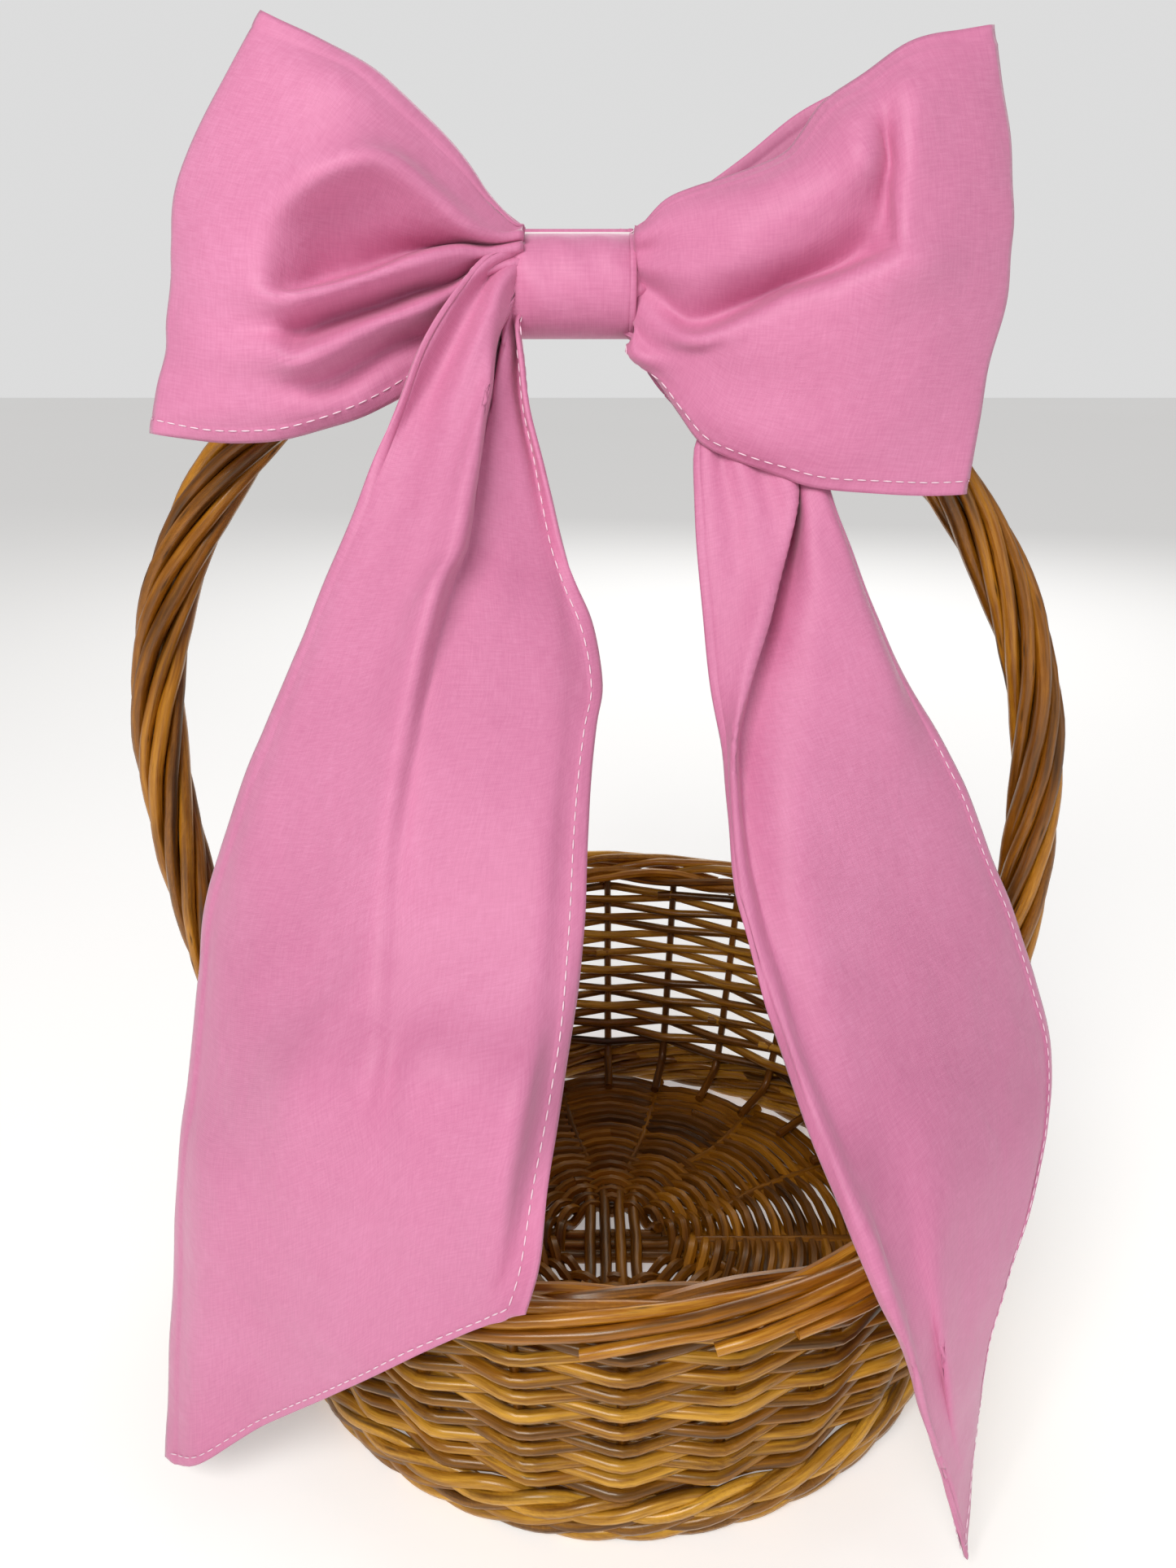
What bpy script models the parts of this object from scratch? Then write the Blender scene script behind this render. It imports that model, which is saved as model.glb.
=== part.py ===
"""Round willow basket with an arched handle of twisted rods and a cotton bow strapped round it.

+Z is up, the basket's axis is Z, the handle stands in the XZ plane and the bow faces -Y.
The origin is the middle of the basket's underside. All sizes are in metres.
"""

import math

import bmesh
import bpy
from mathutils import Vector

# ---- overall sizes
RIM_RADIUS = 0.150
RIM_HEIGHT = 0.112
FOOT_RADIUS = 0.126
HANDLE_TOP = 0.360
HANDLE_HALF_WIDTH = 0.150
HANDLE_WIDEST_AT = 0.204
HANDLE_LEAN = 0.060
GAP = 0.0003

# ---- willow rods
STAKE_COUNT = 28
STAKE_RADIUS = 0.0018
STAKE_INSET = 0.005
STAKE_BEND = 0.004
STAKE_TAIL = 0.024
WEAVER_RADIUS = 0.00195
WEAVER_ROW_GAP = 0.00045
WEAVER_LOOSENESS = 1.02
WEAVER_SETTLE = 0.0005
WEAVER_BUTT_GAP = 0.0024
WALL_BELLY = 1.35
BORDER_ROD_RADIUS = 0.0035
BORDER_LINER_RADIUS = 0.0028
BORDER_LINER_PLAY = 0.0004
ROOM_UNDER_BORDER = 0.0030
FOOT_WIDTH = 0.012
FOOT_ROUNDING = 0.003
BASE_STICK_RADIUS = 0.0022
BASE_STICK_SPACING = 0.0065
LOWER_STICKS = 3
UPPER_STICKS = 4
BASE_WEAVE_THICKNESS = 0.0038
BASE_WEAVE_HOLE = 0.018
BASE_WEAVE_EDGE = 0.0008

# ---- handle
CORE_RADIUS = 0.0034
STRAND_RADIUS = 0.0023
STRAND_COUNT = 8
STRAND_TURNS = 3.5
STRAND_SLACK = 0.0008
STRAND_SIDE_SLACK = 0.00045
STRAND_TRIM = 0.012
LEG_SHARE = 0.28
LEG_CURVE = 1.87

# ---- bow
BAND_WIDTH = 0.036
BAND_THICKNESS = 0.0014
BAND_PRESS = 0.0002
BAND_FRONT_SWELL = 0.0026
KNOT_RADIUS = 0.0088
KNOT_OVERHANG = 0.005
LOOP_DEPTH = 0.017
LOOP_FORWARD = 0.015
LOOP_PINCH = 0.010
LOOP_FLARE = 0.38
TAIL_PLAY = 0.0020
LEFT_ROOT_OUT = 0.003
LEFT_ROOT_WIDTH = 0.004
RIGHT_ROOT_OUT = 0.032
RIGHT_ROOT_FORWARD = 0.0115
RIGHT_ROOT_DROP = 0.042
RIGHT_ROOT_WIDTH = 0.024
CLOTH_THICKNESS = 0.0016
TAPE_THICKNESS = 0.0010
TAPE_WIDTH = 0.034
TAB_HINGE_ANGLE = -25.0
HOOK_TAPE_START = 10.0
LOOP_TAPE_START = 14.0
TAB_REACH = 0.005
TAPE_REACH = 0.008

# ---- places worked out from the sizes above
BASE_STACK = 4 * BASE_STICK_RADIUS + 2 * GAP
FOOT_TOP = BASE_STACK + BASE_WEAVE_THICKNESS
FOOT_INNER = FOOT_RADIUS - FOOT_WIDTH
BORDER_CENTRE = RIM_RADIUS - BORDER_ROD_RADIUS
BORDER_Z = RIM_HEIGHT - BORDER_ROD_RADIUS
STAKE_TOP_RADIUS = BORDER_CENTRE - BORDER_ROD_RADIUS - GAP - STAKE_RADIUS
STAKE_FOOT_RADIUS = FOOT_RADIUS - STAKE_INSET
STAKE_START_Z = FOOT_TOP + GAP + STAKE_RADIUS
WEAVER_PITCH = 2 * WEAVER_RADIUS + WEAVER_ROW_GAP
WEAVER_START_Z = STAKE_START_Z + STAKE_RADIUS + WEAVER_RADIUS + GAP + WEAVER_SETTLE
WEAVER_STOP_Z = BORDER_Z - BORDER_ROD_RADIUS - GAP - ROOM_UNDER_BORDER - WEAVER_RADIUS - WEAVER_PITCH
WEAVER_TURNS = math.floor((WEAVER_STOP_Z - WEAVER_START_Z) / WEAVER_PITCH) / 2
STEEPEST = WALL_BELLY * (STAKE_TOP_RADIUS - STAKE_FOOT_RADIUS) / (BORDER_Z - STAKE_START_Z)
STRAND_SIDE_BY_SIDE = STRAND_RADIUS / math.sin(math.pi / STRAND_COUNT) + STRAND_SIDE_SLACK
STRAND_RING = max(CORE_RADIUS + STRAND_SLACK + STRAND_RADIUS, STRAND_SIDE_BY_SIDE)
HANDLE_RADIUS = STRAND_RING + STRAND_RADIUS
BOW_X = -HANDLE_LEAN * (HANDLE_TOP - RIM_HEIGHT)
BOW = Vector((BOW_X, 0.0, HANDLE_TOP))

WILLOW = (0.36, 0.19, 0.06)
WILLOW_DARK = (0.22, 0.11, 0.035)
PINK = (0.80, 0.27, 0.47)
PINK_DEEP = (0.70, 0.20, 0.38)
WHITE = (0.88, 0.87, 0.86)


def clear_scene():
    for obj in list(bpy.data.objects):
        bpy.data.objects.remove(obj, do_unlink=True)


def material(name, colour, roughness):
    found = bpy.data.materials.get(name)
    if found:
        return found
    made = bpy.data.materials.new(name)
    made.use_nodes = True
    shader = made.node_tree.nodes["Principled BSDF"]
    shader.inputs["Base Color"].default_value = (*colour, 1.0)
    shader.inputs["Roughness"].default_value = roughness
    shader.inputs["Metallic"].default_value = 0.0
    return made


def add_object(name, bm, look, parent=None, smooth=True):
    """Turn a bmesh in world coordinates into a named object, hung on its parent empty if it has one."""
    bmesh.ops.recalc_face_normals(bm, faces=bm.faces)
    mesh = bpy.data.meshes.new(name)
    bm.to_mesh(mesh)
    bm.free()
    if smooth:
        mesh.shade_smooth()
        mesh.set_sharp_from_angle(angle=math.radians(40))
    mesh.materials.append(look)
    obj = bpy.data.objects.new(name, mesh)
    bpy.context.scene.collection.objects.link(obj)
    if parent:
        mesh.transform(parent.matrix_world.inverted())
        obj.parent = parent
    return obj


def joint_empty(name, place, parent=None):
    """An empty on a joint's axis, which the pieces that turn there hang on."""
    empty = bpy.data.objects.new(name, None)
    empty.empty_display_size = 0.01
    bpy.context.scene.collection.objects.link(empty)
    if parent:
        empty.parent = parent
        empty.location = place - parent.matrix_world.translation
    else:
        empty.location = place
    bpy.context.view_layer.update()
    return empty


def circle_section(radius, sides, turn=0.0):
    step = 2 * math.pi / sides
    return [(radius * math.cos(turn + i * step), radius * math.sin(turn + i * step)) for i in range(sides)]


def sweep(path, section, up, closed=False):
    """A bmesh of the section carried along the path. up is a fixed direction or a function of the index."""
    bm = bmesh.new()
    count = len(path)
    rings = []
    for i, centre in enumerate(path):
        before = path[(i - 1) % count] if closed or i else path[0]
        after = path[(i + 1) % count] if closed or i < count - 1 else path[-1]
        along = (after - before).normalized()
        guide = up(i) if callable(up) else up
        side = along.cross(guide).normalized()
        normal = side.cross(along)
        rings.append([bm.verts.new(centre + side * u + normal * v) for u, v in section])
    sides = len(section)
    last = count if closed else count - 1
    for i in range(last):
        a = rings[i]
        b = rings[(i + 1) % count]
        for j in range(sides):
            k = (j + 1) % sides
            bm.faces.new((a[j], a[k], b[k], b[j]))
    if not closed:
        bm.faces.new(rings[0])
        bm.faces.new(list(reversed(rings[-1])))
    return bm


def ring_path(radius, z, count, start=0.0, stop=2 * math.pi):
    closed = abs(stop - start - 2 * math.pi) < 1e-9
    steps = count if closed else count - 1
    angles = [start + (stop - start) * i / steps for i in range(count)]
    return [Vector((radius * math.cos(a), radius * math.sin(a), z)) for a in angles]


def smooth_path(points, per_span):
    """A curve through the points, by Catmull-Rom, with per_span steps between neighbours."""
    padded = [points[0] * 2 - points[1]] + list(points) + [points[-1] * 2 - points[-2]]
    out = []
    for i in range(1, len(padded) - 2):
        a, b, c, d = padded[i - 1 : i + 3]
        for k in range(per_span):
            t = k / per_span
            square = 2 * a - 5 * b + 4 * c - d
            cube = 3 * b - a - 3 * c + d
            out.append(0.5 * (2 * b + (c - a) * t + square * t**2 + cube * t**3))
    out.append(points[-1].copy())
    return out


# ---- basket


def wall_radius(z):
    """Radius of the stakes' middle line at this height: a bowl with a slight belly."""
    t = min(max((z - STAKE_START_Z) / (BORDER_Z - STAKE_START_Z), 0.0), 1.0)
    return STAKE_FOOT_RADIUS + (STAKE_TOP_RADIUS - STAKE_FOOT_RADIUS) * (1 - (1 - t) ** WALL_BELLY)


def polar(radius, angle, z):
    return Vector((radius * math.cos(angle), radius * math.sin(angle), z))


def stake_angle(index):
    return 2 * math.pi * index / STAKE_COUNT


def is_handle_place(index):
    return index % (STAKE_COUNT // 2) == 0


def base_sticks(willow):
    """Sticks that cross in two layers under the middle of the base, the lower set under the upper one."""
    upper_z = 3 * BASE_STICK_RADIUS + GAP
    layers = (("lower", LOWER_STICKS, 0.0, BASE_STICK_RADIUS), ("upper", UPPER_STICKS, math.pi / 2, upper_z))
    flat_bottom = math.pi / 8
    section = circle_section(BASE_STICK_RADIUS / math.cos(flat_bottom), 8, flat_bottom)
    for layer, count, turn, z in layers:
        heading = Vector((math.cos(turn), math.sin(turn), 0.0))
        across = Vector((-math.sin(turn), math.cos(turn), 0.0))
        for i in range(count):
            place = i - (count - 1) / 2
            offset = across * (place * BASE_STICK_SPACING)
            fan = place * math.pi / (LOWER_STICKS + UPPER_STICKS)
            reach = FOOT_INNER - GAP - 2 * BASE_STICK_RADIUS
            end_along = heading * (reach * math.cos(fan))
            end_across = across * (reach * math.sin(fan))
            straight = heading * BASE_WEAVE_HOLE
            points = [end_across - end_along, offset - straight, offset + straight, end_across + end_along]
            path = [p + Vector((0, 0, z)) for p in points]
            bm = sweep(path, section, Vector((0, 0, 1)))
            add_object(f"base_stick_{layer}_{i + 1}", bm, willow)


def flat_ring(name, inner, outer, bottom, top, look, corner):
    """A ring round Z with a section whose four corners are cut back."""
    section = [
        (inner + corner, bottom),
        (outer - corner, bottom),
        (outer, bottom + corner),
        (outer, top - corner),
        (outer - corner, top),
        (inner + corner, top),
        (inner, top - corner),
        (inner, bottom + corner),
    ]
    bm = bmesh.new()
    count = 2 * STAKE_COUNT
    rings = [[bm.verts.new(polar(r, 2 * math.pi * i / count, z)) for r, z in section] for i in range(count)]
    for i in range(count):
        a = rings[i]
        b = rings[(i + 1) % count]
        for j in range(len(section)):
            k = (j + 1) % len(section)
            bm.faces.new((a[j], a[k], b[k], b[j]))
    add_object(name, bm, look)


def stakes(willow):
    """Upright rods: each lies on the base, turns up over the foot and stops inside the border."""
    section = circle_section(STAKE_RADIUS, 5)
    number = 0
    for index in range(STAKE_COUNT):
        if is_handle_place(index):
            continue
        number += 1
        angle = stake_angle(index)
        tail_end = STAKE_FOOT_RADIUS - STAKE_TAIL
        profile = [(tail_end, STAKE_START_Z), (STAKE_FOOT_RADIUS - STAKE_BEND * 0.75, STAKE_START_Z)]
        first = STAKE_START_Z + STAKE_BEND
        last = RIM_HEIGHT - BORDER_ROD_RADIUS / 3
        for k in range(5):
            z = first + (last - first) * k / 4
            profile.append((wall_radius(z), z))
        path = [polar(r, angle, z) for r, z in profile]
        outward = polar(1.0, angle, 0.0)
        bm = sweep(path, section, outward.cross(Vector((0, 0, 1))))
        add_object(f"stake_{number:02d}", bm, willow)


def weaver_path(strand, first_turn, last_turn):
    """A rod that climbs round the wall, outside one stake and inside the next."""
    first = round(first_turn * STAKE_COUNT)
    last = round(last_turn * STAKE_COUNT)
    start_z = WEAVER_START_Z + strand * WEAVER_PITCH
    slope = WEAVER_LOOSENESS * math.hypot(1.0, STEEPEST)
    path = []
    for index in range(first, last + 1):
        z = start_z + 2 * WEAVER_PITCH * index / STAKE_COUNT
        held = CORE_RADIUS if is_handle_place(index) else STAKE_RADIUS
        offset = (held + GAP + WEAVER_RADIUS) * slope
        side = 1 if (index + strand) % 2 == 0 else -1
        path.append(polar(wall_radius(z) + side * offset, stake_angle(index), z))
    return path


def weavers(willow):
    """Two long weavers chase each other up the wall, each made of a lower and an upper length."""
    section = circle_section(WEAVER_RADIUS, 4)
    half = (WEAVER_TURNS - 0.5) / 2
    for strand, letter in enumerate("ab"):
        lower = weaver_path(strand, 0.25, 0.25 + half)
        upper = weaver_path(strand, 0.25 + half, WEAVER_TURNS)
        upper[0] += (upper[1] - upper[0]).normalized() * WEAVER_BUTT_GAP
        add_object(f"weaver_{letter}_lower", sweep(lower, section, Vector((0, 0, 1))), willow)
        add_object(f"weaver_{letter}_upper", sweep(upper, section, Vector((0, 0, 1))), willow)


def border(willow):
    """A thick rod outside the stakes, before and behind the handle, and a thinner ring inside them."""
    section = circle_section(BORDER_ROD_RADIUS, 6, math.pi / 6)
    clear = math.asin((CORE_RADIUS + 3 * GAP) / BORDER_CENTRE)
    for name, start in (("border_back", 0.0), ("border_front", math.pi)):
        path = ring_path(BORDER_CENTRE, BORDER_Z, STAKE_COUNT + 1, start + clear, start + math.pi - clear)
        add_object(name, sweep(path, section, Vector((0, 0, 1))), willow)
    liner = STAKE_TOP_RADIUS - max(CORE_RADIUS, STAKE_RADIUS) - GAP - BORDER_LINER_RADIUS - BORDER_LINER_PLAY
    path = ring_path(liner, BORDER_Z, 2 * STAKE_COUNT)
    section = circle_section(BORDER_LINER_RADIUS, 6, math.pi / 6)
    add_object("border_liner", sweep(path, section, Vector((0, 0, 1)), closed=True), willow)


# ---- handle


def arch_point(t):
    """Middle line of the handle above the rim: t runs from -1 at the left rim over 0 at the top to 1."""
    side = -1 if t < 0 else 1
    s = abs(t)
    if s <= 1 - LEG_SHARE:
        a = s / (1 - LEG_SHARE) * math.pi / 2
        x = HANDLE_HALF_WIDTH * math.sin(a)
        z = HANDLE_WIDEST_AT + (HANDLE_TOP - HANDLE_WIDEST_AT) * math.cos(a)
    else:
        u = (s - 1 + LEG_SHARE) / LEG_SHARE
        z = HANDLE_WIDEST_AT - (HANDLE_WIDEST_AT - RIM_HEIGHT) * u
        x = HANDLE_HALF_WIDTH - (HANDLE_HALF_WIDTH - STAKE_TOP_RADIUS) * u**LEG_CURVE
    return Vector((side * x - HANDLE_LEAN * (z - RIM_HEIGHT), 0.0, z))


def handle_core(willow):
    """One long rod that runs down between the weavers on both sides, in place of a stake."""
    arch = [arch_point(-1 + 2 * i / 40) for i in range(41)]
    bottom = STAKE_START_Z + CORE_RADIUS
    leg = []
    for k in range(5):
        z = bottom + (BORDER_Z - bottom) * k / 4
        leg.append(Vector((wall_radius(z), 0.0, z)))
    left = [Vector((-p.x, 0.0, p.z)) for p in leg]
    path = left + arch + list(reversed(leg))
    section = circle_section(CORE_RADIUS, 6)
    add_object("handle_core", sweep(path, section, Vector((0, 1, 0))), willow)


def handle_strands(willow):
    """Thinner rods laid round the core in a long twist, from rim to rim."""
    section = circle_section(STRAND_RADIUS, 5)
    steps = 34
    end = 1 - STRAND_TRIM
    for n in range(STRAND_COUNT):
        path = []
        for i in range(steps + 1):
            t = end * (-1 + 2 * i / steps)
            centre = arch_point(t)
            along = (arch_point(min(t + 0.005, 1)) - arch_point(max(t - 0.005, -1))).normalized()
            sideways = Vector((0, 1, 0))
            outward = sideways.cross(along)
            turn = 2 * math.pi * (n / STRAND_COUNT + STRAND_TURNS * i / steps)
            path.append(centre + (outward * math.cos(turn) + sideways * math.sin(turn)) * STRAND_RING)
        add_object(f"handle_strand_{n + 1}", sweep(path, section, Vector((0, 1, 0))), willow)


# ---- bow

ARCH_TOP_RADIUS = HANDLE_HALF_WIDTH**2 / (HANDLE_TOP - HANDLE_WIDEST_AT)
ARCH_DROP = (BAND_WIDTH / 2) ** 2 / (2 * ARCH_TOP_RADIUS)
BAND_BACK_RADIUS = HANDLE_RADIUS + ARCH_DROP - BAND_PRESS + BAND_THICKNESS + GAP
KNOT_FORWARD = HANDLE_RADIUS + KNOT_RADIUS + 3 * GAP
BAND_FRONT_RADIUS = BAND_BACK_RADIUS + BAND_FRONT_SWELL
BAND_FRONT_SHIFT = KNOT_FORWARD + KNOT_RADIUS + BAND_THICKNESS + 2 * GAP - BAND_FRONT_RADIUS
LEFT_TAIL_AXIS = BOW + Vector((-BAND_WIDTH / 2 - LEFT_ROOT_OUT, -KNOT_FORWARD, 0.0))
RIGHT_ROOT_X = BAND_WIDTH / 2 + RIGHT_ROOT_OUT
RIGHT_TAIL_AXIS = BOW + Vector((RIGHT_ROOT_X, -KNOT_FORWARD - RIGHT_ROOT_FORWARD, -RIGHT_ROOT_DROP))
LOOP_INNER = BAND_WIDTH / 2 + KNOT_OVERHANG + GAP + CLOTH_THICKNESS
TURN_OVER = math.degrees(math.acos((BAND_FRONT_RADIUS - BAND_BACK_RADIUS) / BAND_FRONT_SHIFT))


def band_point(angle, offset):
    """Outside of the band in the YZ plane, by the direction it faces: 0 is the back and 90 the top."""
    a = math.radians(angle)
    facing = Vector((0.0, math.cos(a), math.sin(a)))
    in_front = abs(angle) > TURN_OVER
    centre = Vector((0.0, -BAND_FRONT_SHIFT if in_front else 0.0, 0.0))
    radius = BAND_FRONT_RADIUS if in_front else BAND_BACK_RADIUS
    return centre + facing * (radius + offset)


def prism(outline, width):
    """A strip section in the YZ plane, given a width along X, centred on the bow."""
    bm = bmesh.new()
    ends = []
    for x in (-width / 2, width / 2):
        ends.append([bm.verts.new(BOW + Vector((x, p.y, p.z))) for p in outline])
    count = len(outline)
    for i in range(count):
        k = (i + 1) % count
        bm.faces.new((ends[0][i], ends[0][k], ends[1][k], ends[1][i]))
    bm.faces.new(ends[0])
    bm.faces.new(list(reversed(ends[1])))
    return bm


def band(pink, parent):
    """The centre band: a closed loop of cloth round the handle and the knot."""
    angles = [i * 15 for i in range(-12, 12)]
    bm = bmesh.new()
    rings = []
    for offset in (0.0, -BAND_THICKNESS):
        for x in (-BAND_WIDTH / 2, BAND_WIDTH / 2):
            rings.append([bm.verts.new(BOW + band_point(a, offset) + Vector((x, 0, 0))) for a in angles])
    outer_left, outer_right, inner_left, inner_right = rings
    count = len(angles)
    for i in range(count):
        k = (i + 1) % count
        bm.faces.new((outer_left[i], outer_left[k], outer_right[k], outer_right[i]))
        bm.faces.new((inner_left[k], inner_left[i], inner_right[i], inner_right[k]))
        bm.faces.new((outer_left[k], outer_left[i], inner_left[i], inner_left[k]))
        bm.faces.new((outer_right[i], outer_right[k], inner_right[k], inner_right[i]))
    add_object("bow_band", bm, pink, parent)


def strip(name, first, last, reach, offset, thickness, width, look, parent):
    """A strip laid over the band from one facing angle to another, and straight on for its reach."""
    steps = 7
    angles = [first + (last - first) * i / steps for i in range(steps + 1)]
    inner = [band_point(a, offset) for a in angles]
    outer = [band_point(a, offset + thickness) for a in angles]
    if reach:
        a = math.radians(last)
        forward = Vector((0.0, -math.sin(a), math.cos(a))) * reach
        inner.append(inner[-1] + forward)
        outer.append(outer[-1] + forward)
    add_object(name, prism(inner + list(reversed(outer)), width), look, parent)


def closure(pink, white, bow_parent, tab_parent):
    """Hook tape sewn to the band's back, and the tab with its loop tape that presses onto it."""
    last = TURN_OVER - 0.5
    tape_2 = 2 * GAP + TAPE_THICKNESS
    tab = tape_2 + TAPE_THICKNESS + GAP
    strip("hook_tape", HOOK_TAPE_START, last, TAPE_REACH, GAP, TAPE_THICKNESS, TAPE_WIDTH, white, bow_parent)
    strip("loop_tape", LOOP_TAPE_START, last, TAPE_REACH, tape_2, TAPE_THICKNESS, TAPE_WIDTH, white, tab_parent)
    strip("closure_tab", TAB_HINGE_ANGLE, last, TAB_REACH, tab, BAND_THICKNESS, BAND_WIDTH, pink, tab_parent)


def ribbon(centres, widths):
    """A flat strap of cloth down the centres, facing the front, with its width at each of them."""
    section = [(0.5, -0.5), (0.5, 0.5), (-0.5, 0.5), (-0.5, -0.5)]
    bm = bmesh.new()
    rings = []
    for i, centre in enumerate(centres):
        along = (centres[min(i + 1, len(centres) - 1)] - centres[max(i - 1, 0)]).normalized()
        across = along.cross(Vector((0, 1, 0))).normalized()
        thick = across.cross(along)
        wide = across * widths[i]
        deep = thick * CLOTH_THICKNESS
        rings.append([bm.verts.new(centre + wide * u + deep * v) for u, v in section])
    for a, b in zip(rings, rings[1:]):
        for j in range(4):
            k = (j + 1) % 4
            bm.faces.new((a[j], a[k], b[k], b[j]))
    bm.faces.new(rings[0])
    bm.faces.new(list(reversed(rings[-1])))
    return bm


def knot(pink, parent):
    """The gathered middle of the bow, with the right tail's root, which leaves it inside the right loop."""
    half = BAND_WIDTH / 2 + KNOT_OVERHANG
    path = [BOW + Vector((x, -KNOT_FORWARD, 0.0)) for x in (-half, -half / 2, 0.0, half / 2, half)]
    made = add_object("bow_knot", sweep(path, circle_section(KNOT_RADIUS, 12), Vector((0, 0, 1))), pink, parent)
    start = BOW + Vector((half - KNOT_OVERHANG / 2, -KNOT_FORWARD, -KNOT_RADIUS / 2))
    below = start + Vector((0.001, -0.0005, -0.012))
    middle = (below + RIGHT_TAIL_AXIS) / 2 + Vector((-0.004, 0.0, -0.001))
    end = RIGHT_TAIL_AXIS + Vector((0.0, 0.0, TAIL_PLAY / 2))
    straight = end + Vector((0.0, 0.0, 0.004))
    widths = [0.004, 0.006, 0.014, RIGHT_ROOT_WIDTH - 0.001, RIGHT_ROOT_WIDTH]
    strap = ribbon([start, below, middle, straight, end], widths)
    root = add_object("tail_root_joined", strap, pink, parent)
    root.hide_render = True
    root.display_type = "WIRE"
    union = made.modifiers.new("tail root", "BOOLEAN")
    union.operation = "UNION"
    union.object = root


def loop(name, top, bottom, pink, parent):
    """One loop of the bow: a flat tube of cloth, pinched at the knot, with its far fold from top to bottom."""
    side = 1 if top.x > BOW.x else -1
    around = 22
    rows = 6
    bm = bmesh.new()
    grid = []
    for i in range(around):
        phi = 2 * math.pi * i / around
        s = (1 - math.cos(phi)) / 2
        y = LOOP_DEPTH * math.sin(phi) - KNOT_FORWARD - LOOP_FORWARD * math.sqrt(s)
        column = []
        for k in range(rows + 1):
            w = k / rows
            far = top.lerp(bottom, w)
            near = Vector((BOW.x + side * LOOP_INNER, 0.0, BOW.z + LOOP_PINCH * (1 - 2 * w)))
            spread = s**LOOP_FLARE
            x = near.x + (far.x - near.x) * s
            z = near.z + (far.z - near.z) * spread
            column.append(bm.verts.new((x, y, z)))
        grid.append(column)
    for i in range(around):
        a = grid[i]
        b = grid[(i + 1) % around]
        for k in range(rows):
            bm.faces.new((a[k], b[k], b[k + 1], a[k + 1]))
    made = add_object(name, bm, pink, parent)
    solid = made.modifiers.new("cloth", "SOLIDIFY")
    solid.thickness = CLOTH_THICKNESS
    solid.offset = 0.0


def tail(name, left, centre, right, pink, parent):
    """One hanging tail: a sheet through three lines that run down it, given its thickness."""
    rails = [smooth_path([Vector(p) for p in rail], 3) for rail in (left, centre, right)]
    bm = bmesh.new()
    grid = []
    across = 6
    for a, b, c in zip(*rails):
        row = []
        for k in range(across + 1):
            w = k / across
            row.append(bm.verts.new(a * (1 - w) * (1 - 2 * w) + b * 4 * w * (1 - w) + c * w * (2 * w - 1)))
        grid.append(row)
    for i in range(len(grid) - 1):
        for k in range(across):
            bm.faces.new((grid[i][k], grid[i][k + 1], grid[i + 1][k + 1], grid[i + 1][k]))
    made = add_object(name, bm, pink, parent)
    solid = made.modifiers.new("cloth", "SOLIDIFY")
    solid.thickness = CLOTH_THICKNESS
    solid.offset = 0.0


def hanging(x, y, share):
    """A point between the rim's height, share 0, and the bow's, share 1, x beside the line between them."""
    return Vector((BOW_X * share + x, y, RIM_HEIGHT + (HANDLE_TOP - RIM_HEIGHT) * share))


def near_rim(angle, inside, share):
    """A point above the bowl, nearer to the axis than the rim by inside, this share of the way up to the bow."""
    return polar(RIM_RADIUS - inside, math.radians(angle), RIM_HEIGHT + (HANDLE_TOP - RIM_HEIGHT) * share)


def over_rim(angle, out, level):
    """A point that stands off the border by out, at this angle in degrees and share of the rim's height."""
    return polar(RIM_RADIUS + out, math.radians(angle), RIM_HEIGHT * level)


def left_tail(pink, parent):
    """It leaves the knot in front, hangs into the bowl, and its outer half falls over the rim to a low tip."""
    front = -(KNOT_FORWARD + KNOT_RADIUS + GAP + CLOTH_THICKNESS)
    root = Vector((LEFT_TAIL_AXIS.x - 0.0006, front - 0.002, HANDLE_TOP - 0.002))
    edge = Vector((LEFT_ROOT_WIDTH / 2, 0.0, 0.0))
    outer = [root - edge]
    outer += [hanging(-0.0364, front - 0.026, 0.911), hanging(-0.0725, -0.066, 0.637)]
    outer += [hanging(-0.1014, -0.070, 0.444), near_rim(-150.0, 0.0021, 0.234)]
    outer += [over_rim(-149, 0.007, 1.089), over_rim(-147, 0.010, 0.536), over_rim(-144, 0.018, 0.125)]
    centre = [root]
    centre += [hanging(-0.0274, front - 0.028, 0.911), hanging(-0.0462, -0.078, 0.657)]
    centre += [hanging(-0.0632, -0.096, 0.456), near_rim(-126.3, 0.0098, 0.254)]
    centre += [over_rim(-126, 0.007, 1.143), over_rim(-122, 0.010, 0.804), over_rim(-123, 0.013, 0.554)]
    inner = [root + edge]
    inner += [hanging(-0.0164, front - 0.022, 0.911), hanging(-0.0020, -0.068, 0.669)]
    inner += [hanging(-0.0016, -0.084, 0.500), hanging(-0.0067, -0.106, 0.355)]
    inner += [near_rim(-96.8, 0.0231, 0.242), near_rim(-97.6, 0.0057, 0.145)]
    inner += [over_rim(-99, 0.010, 1.107)]
    tail("bow_tail_left", outer, centre, inner, pink, parent)


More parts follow.
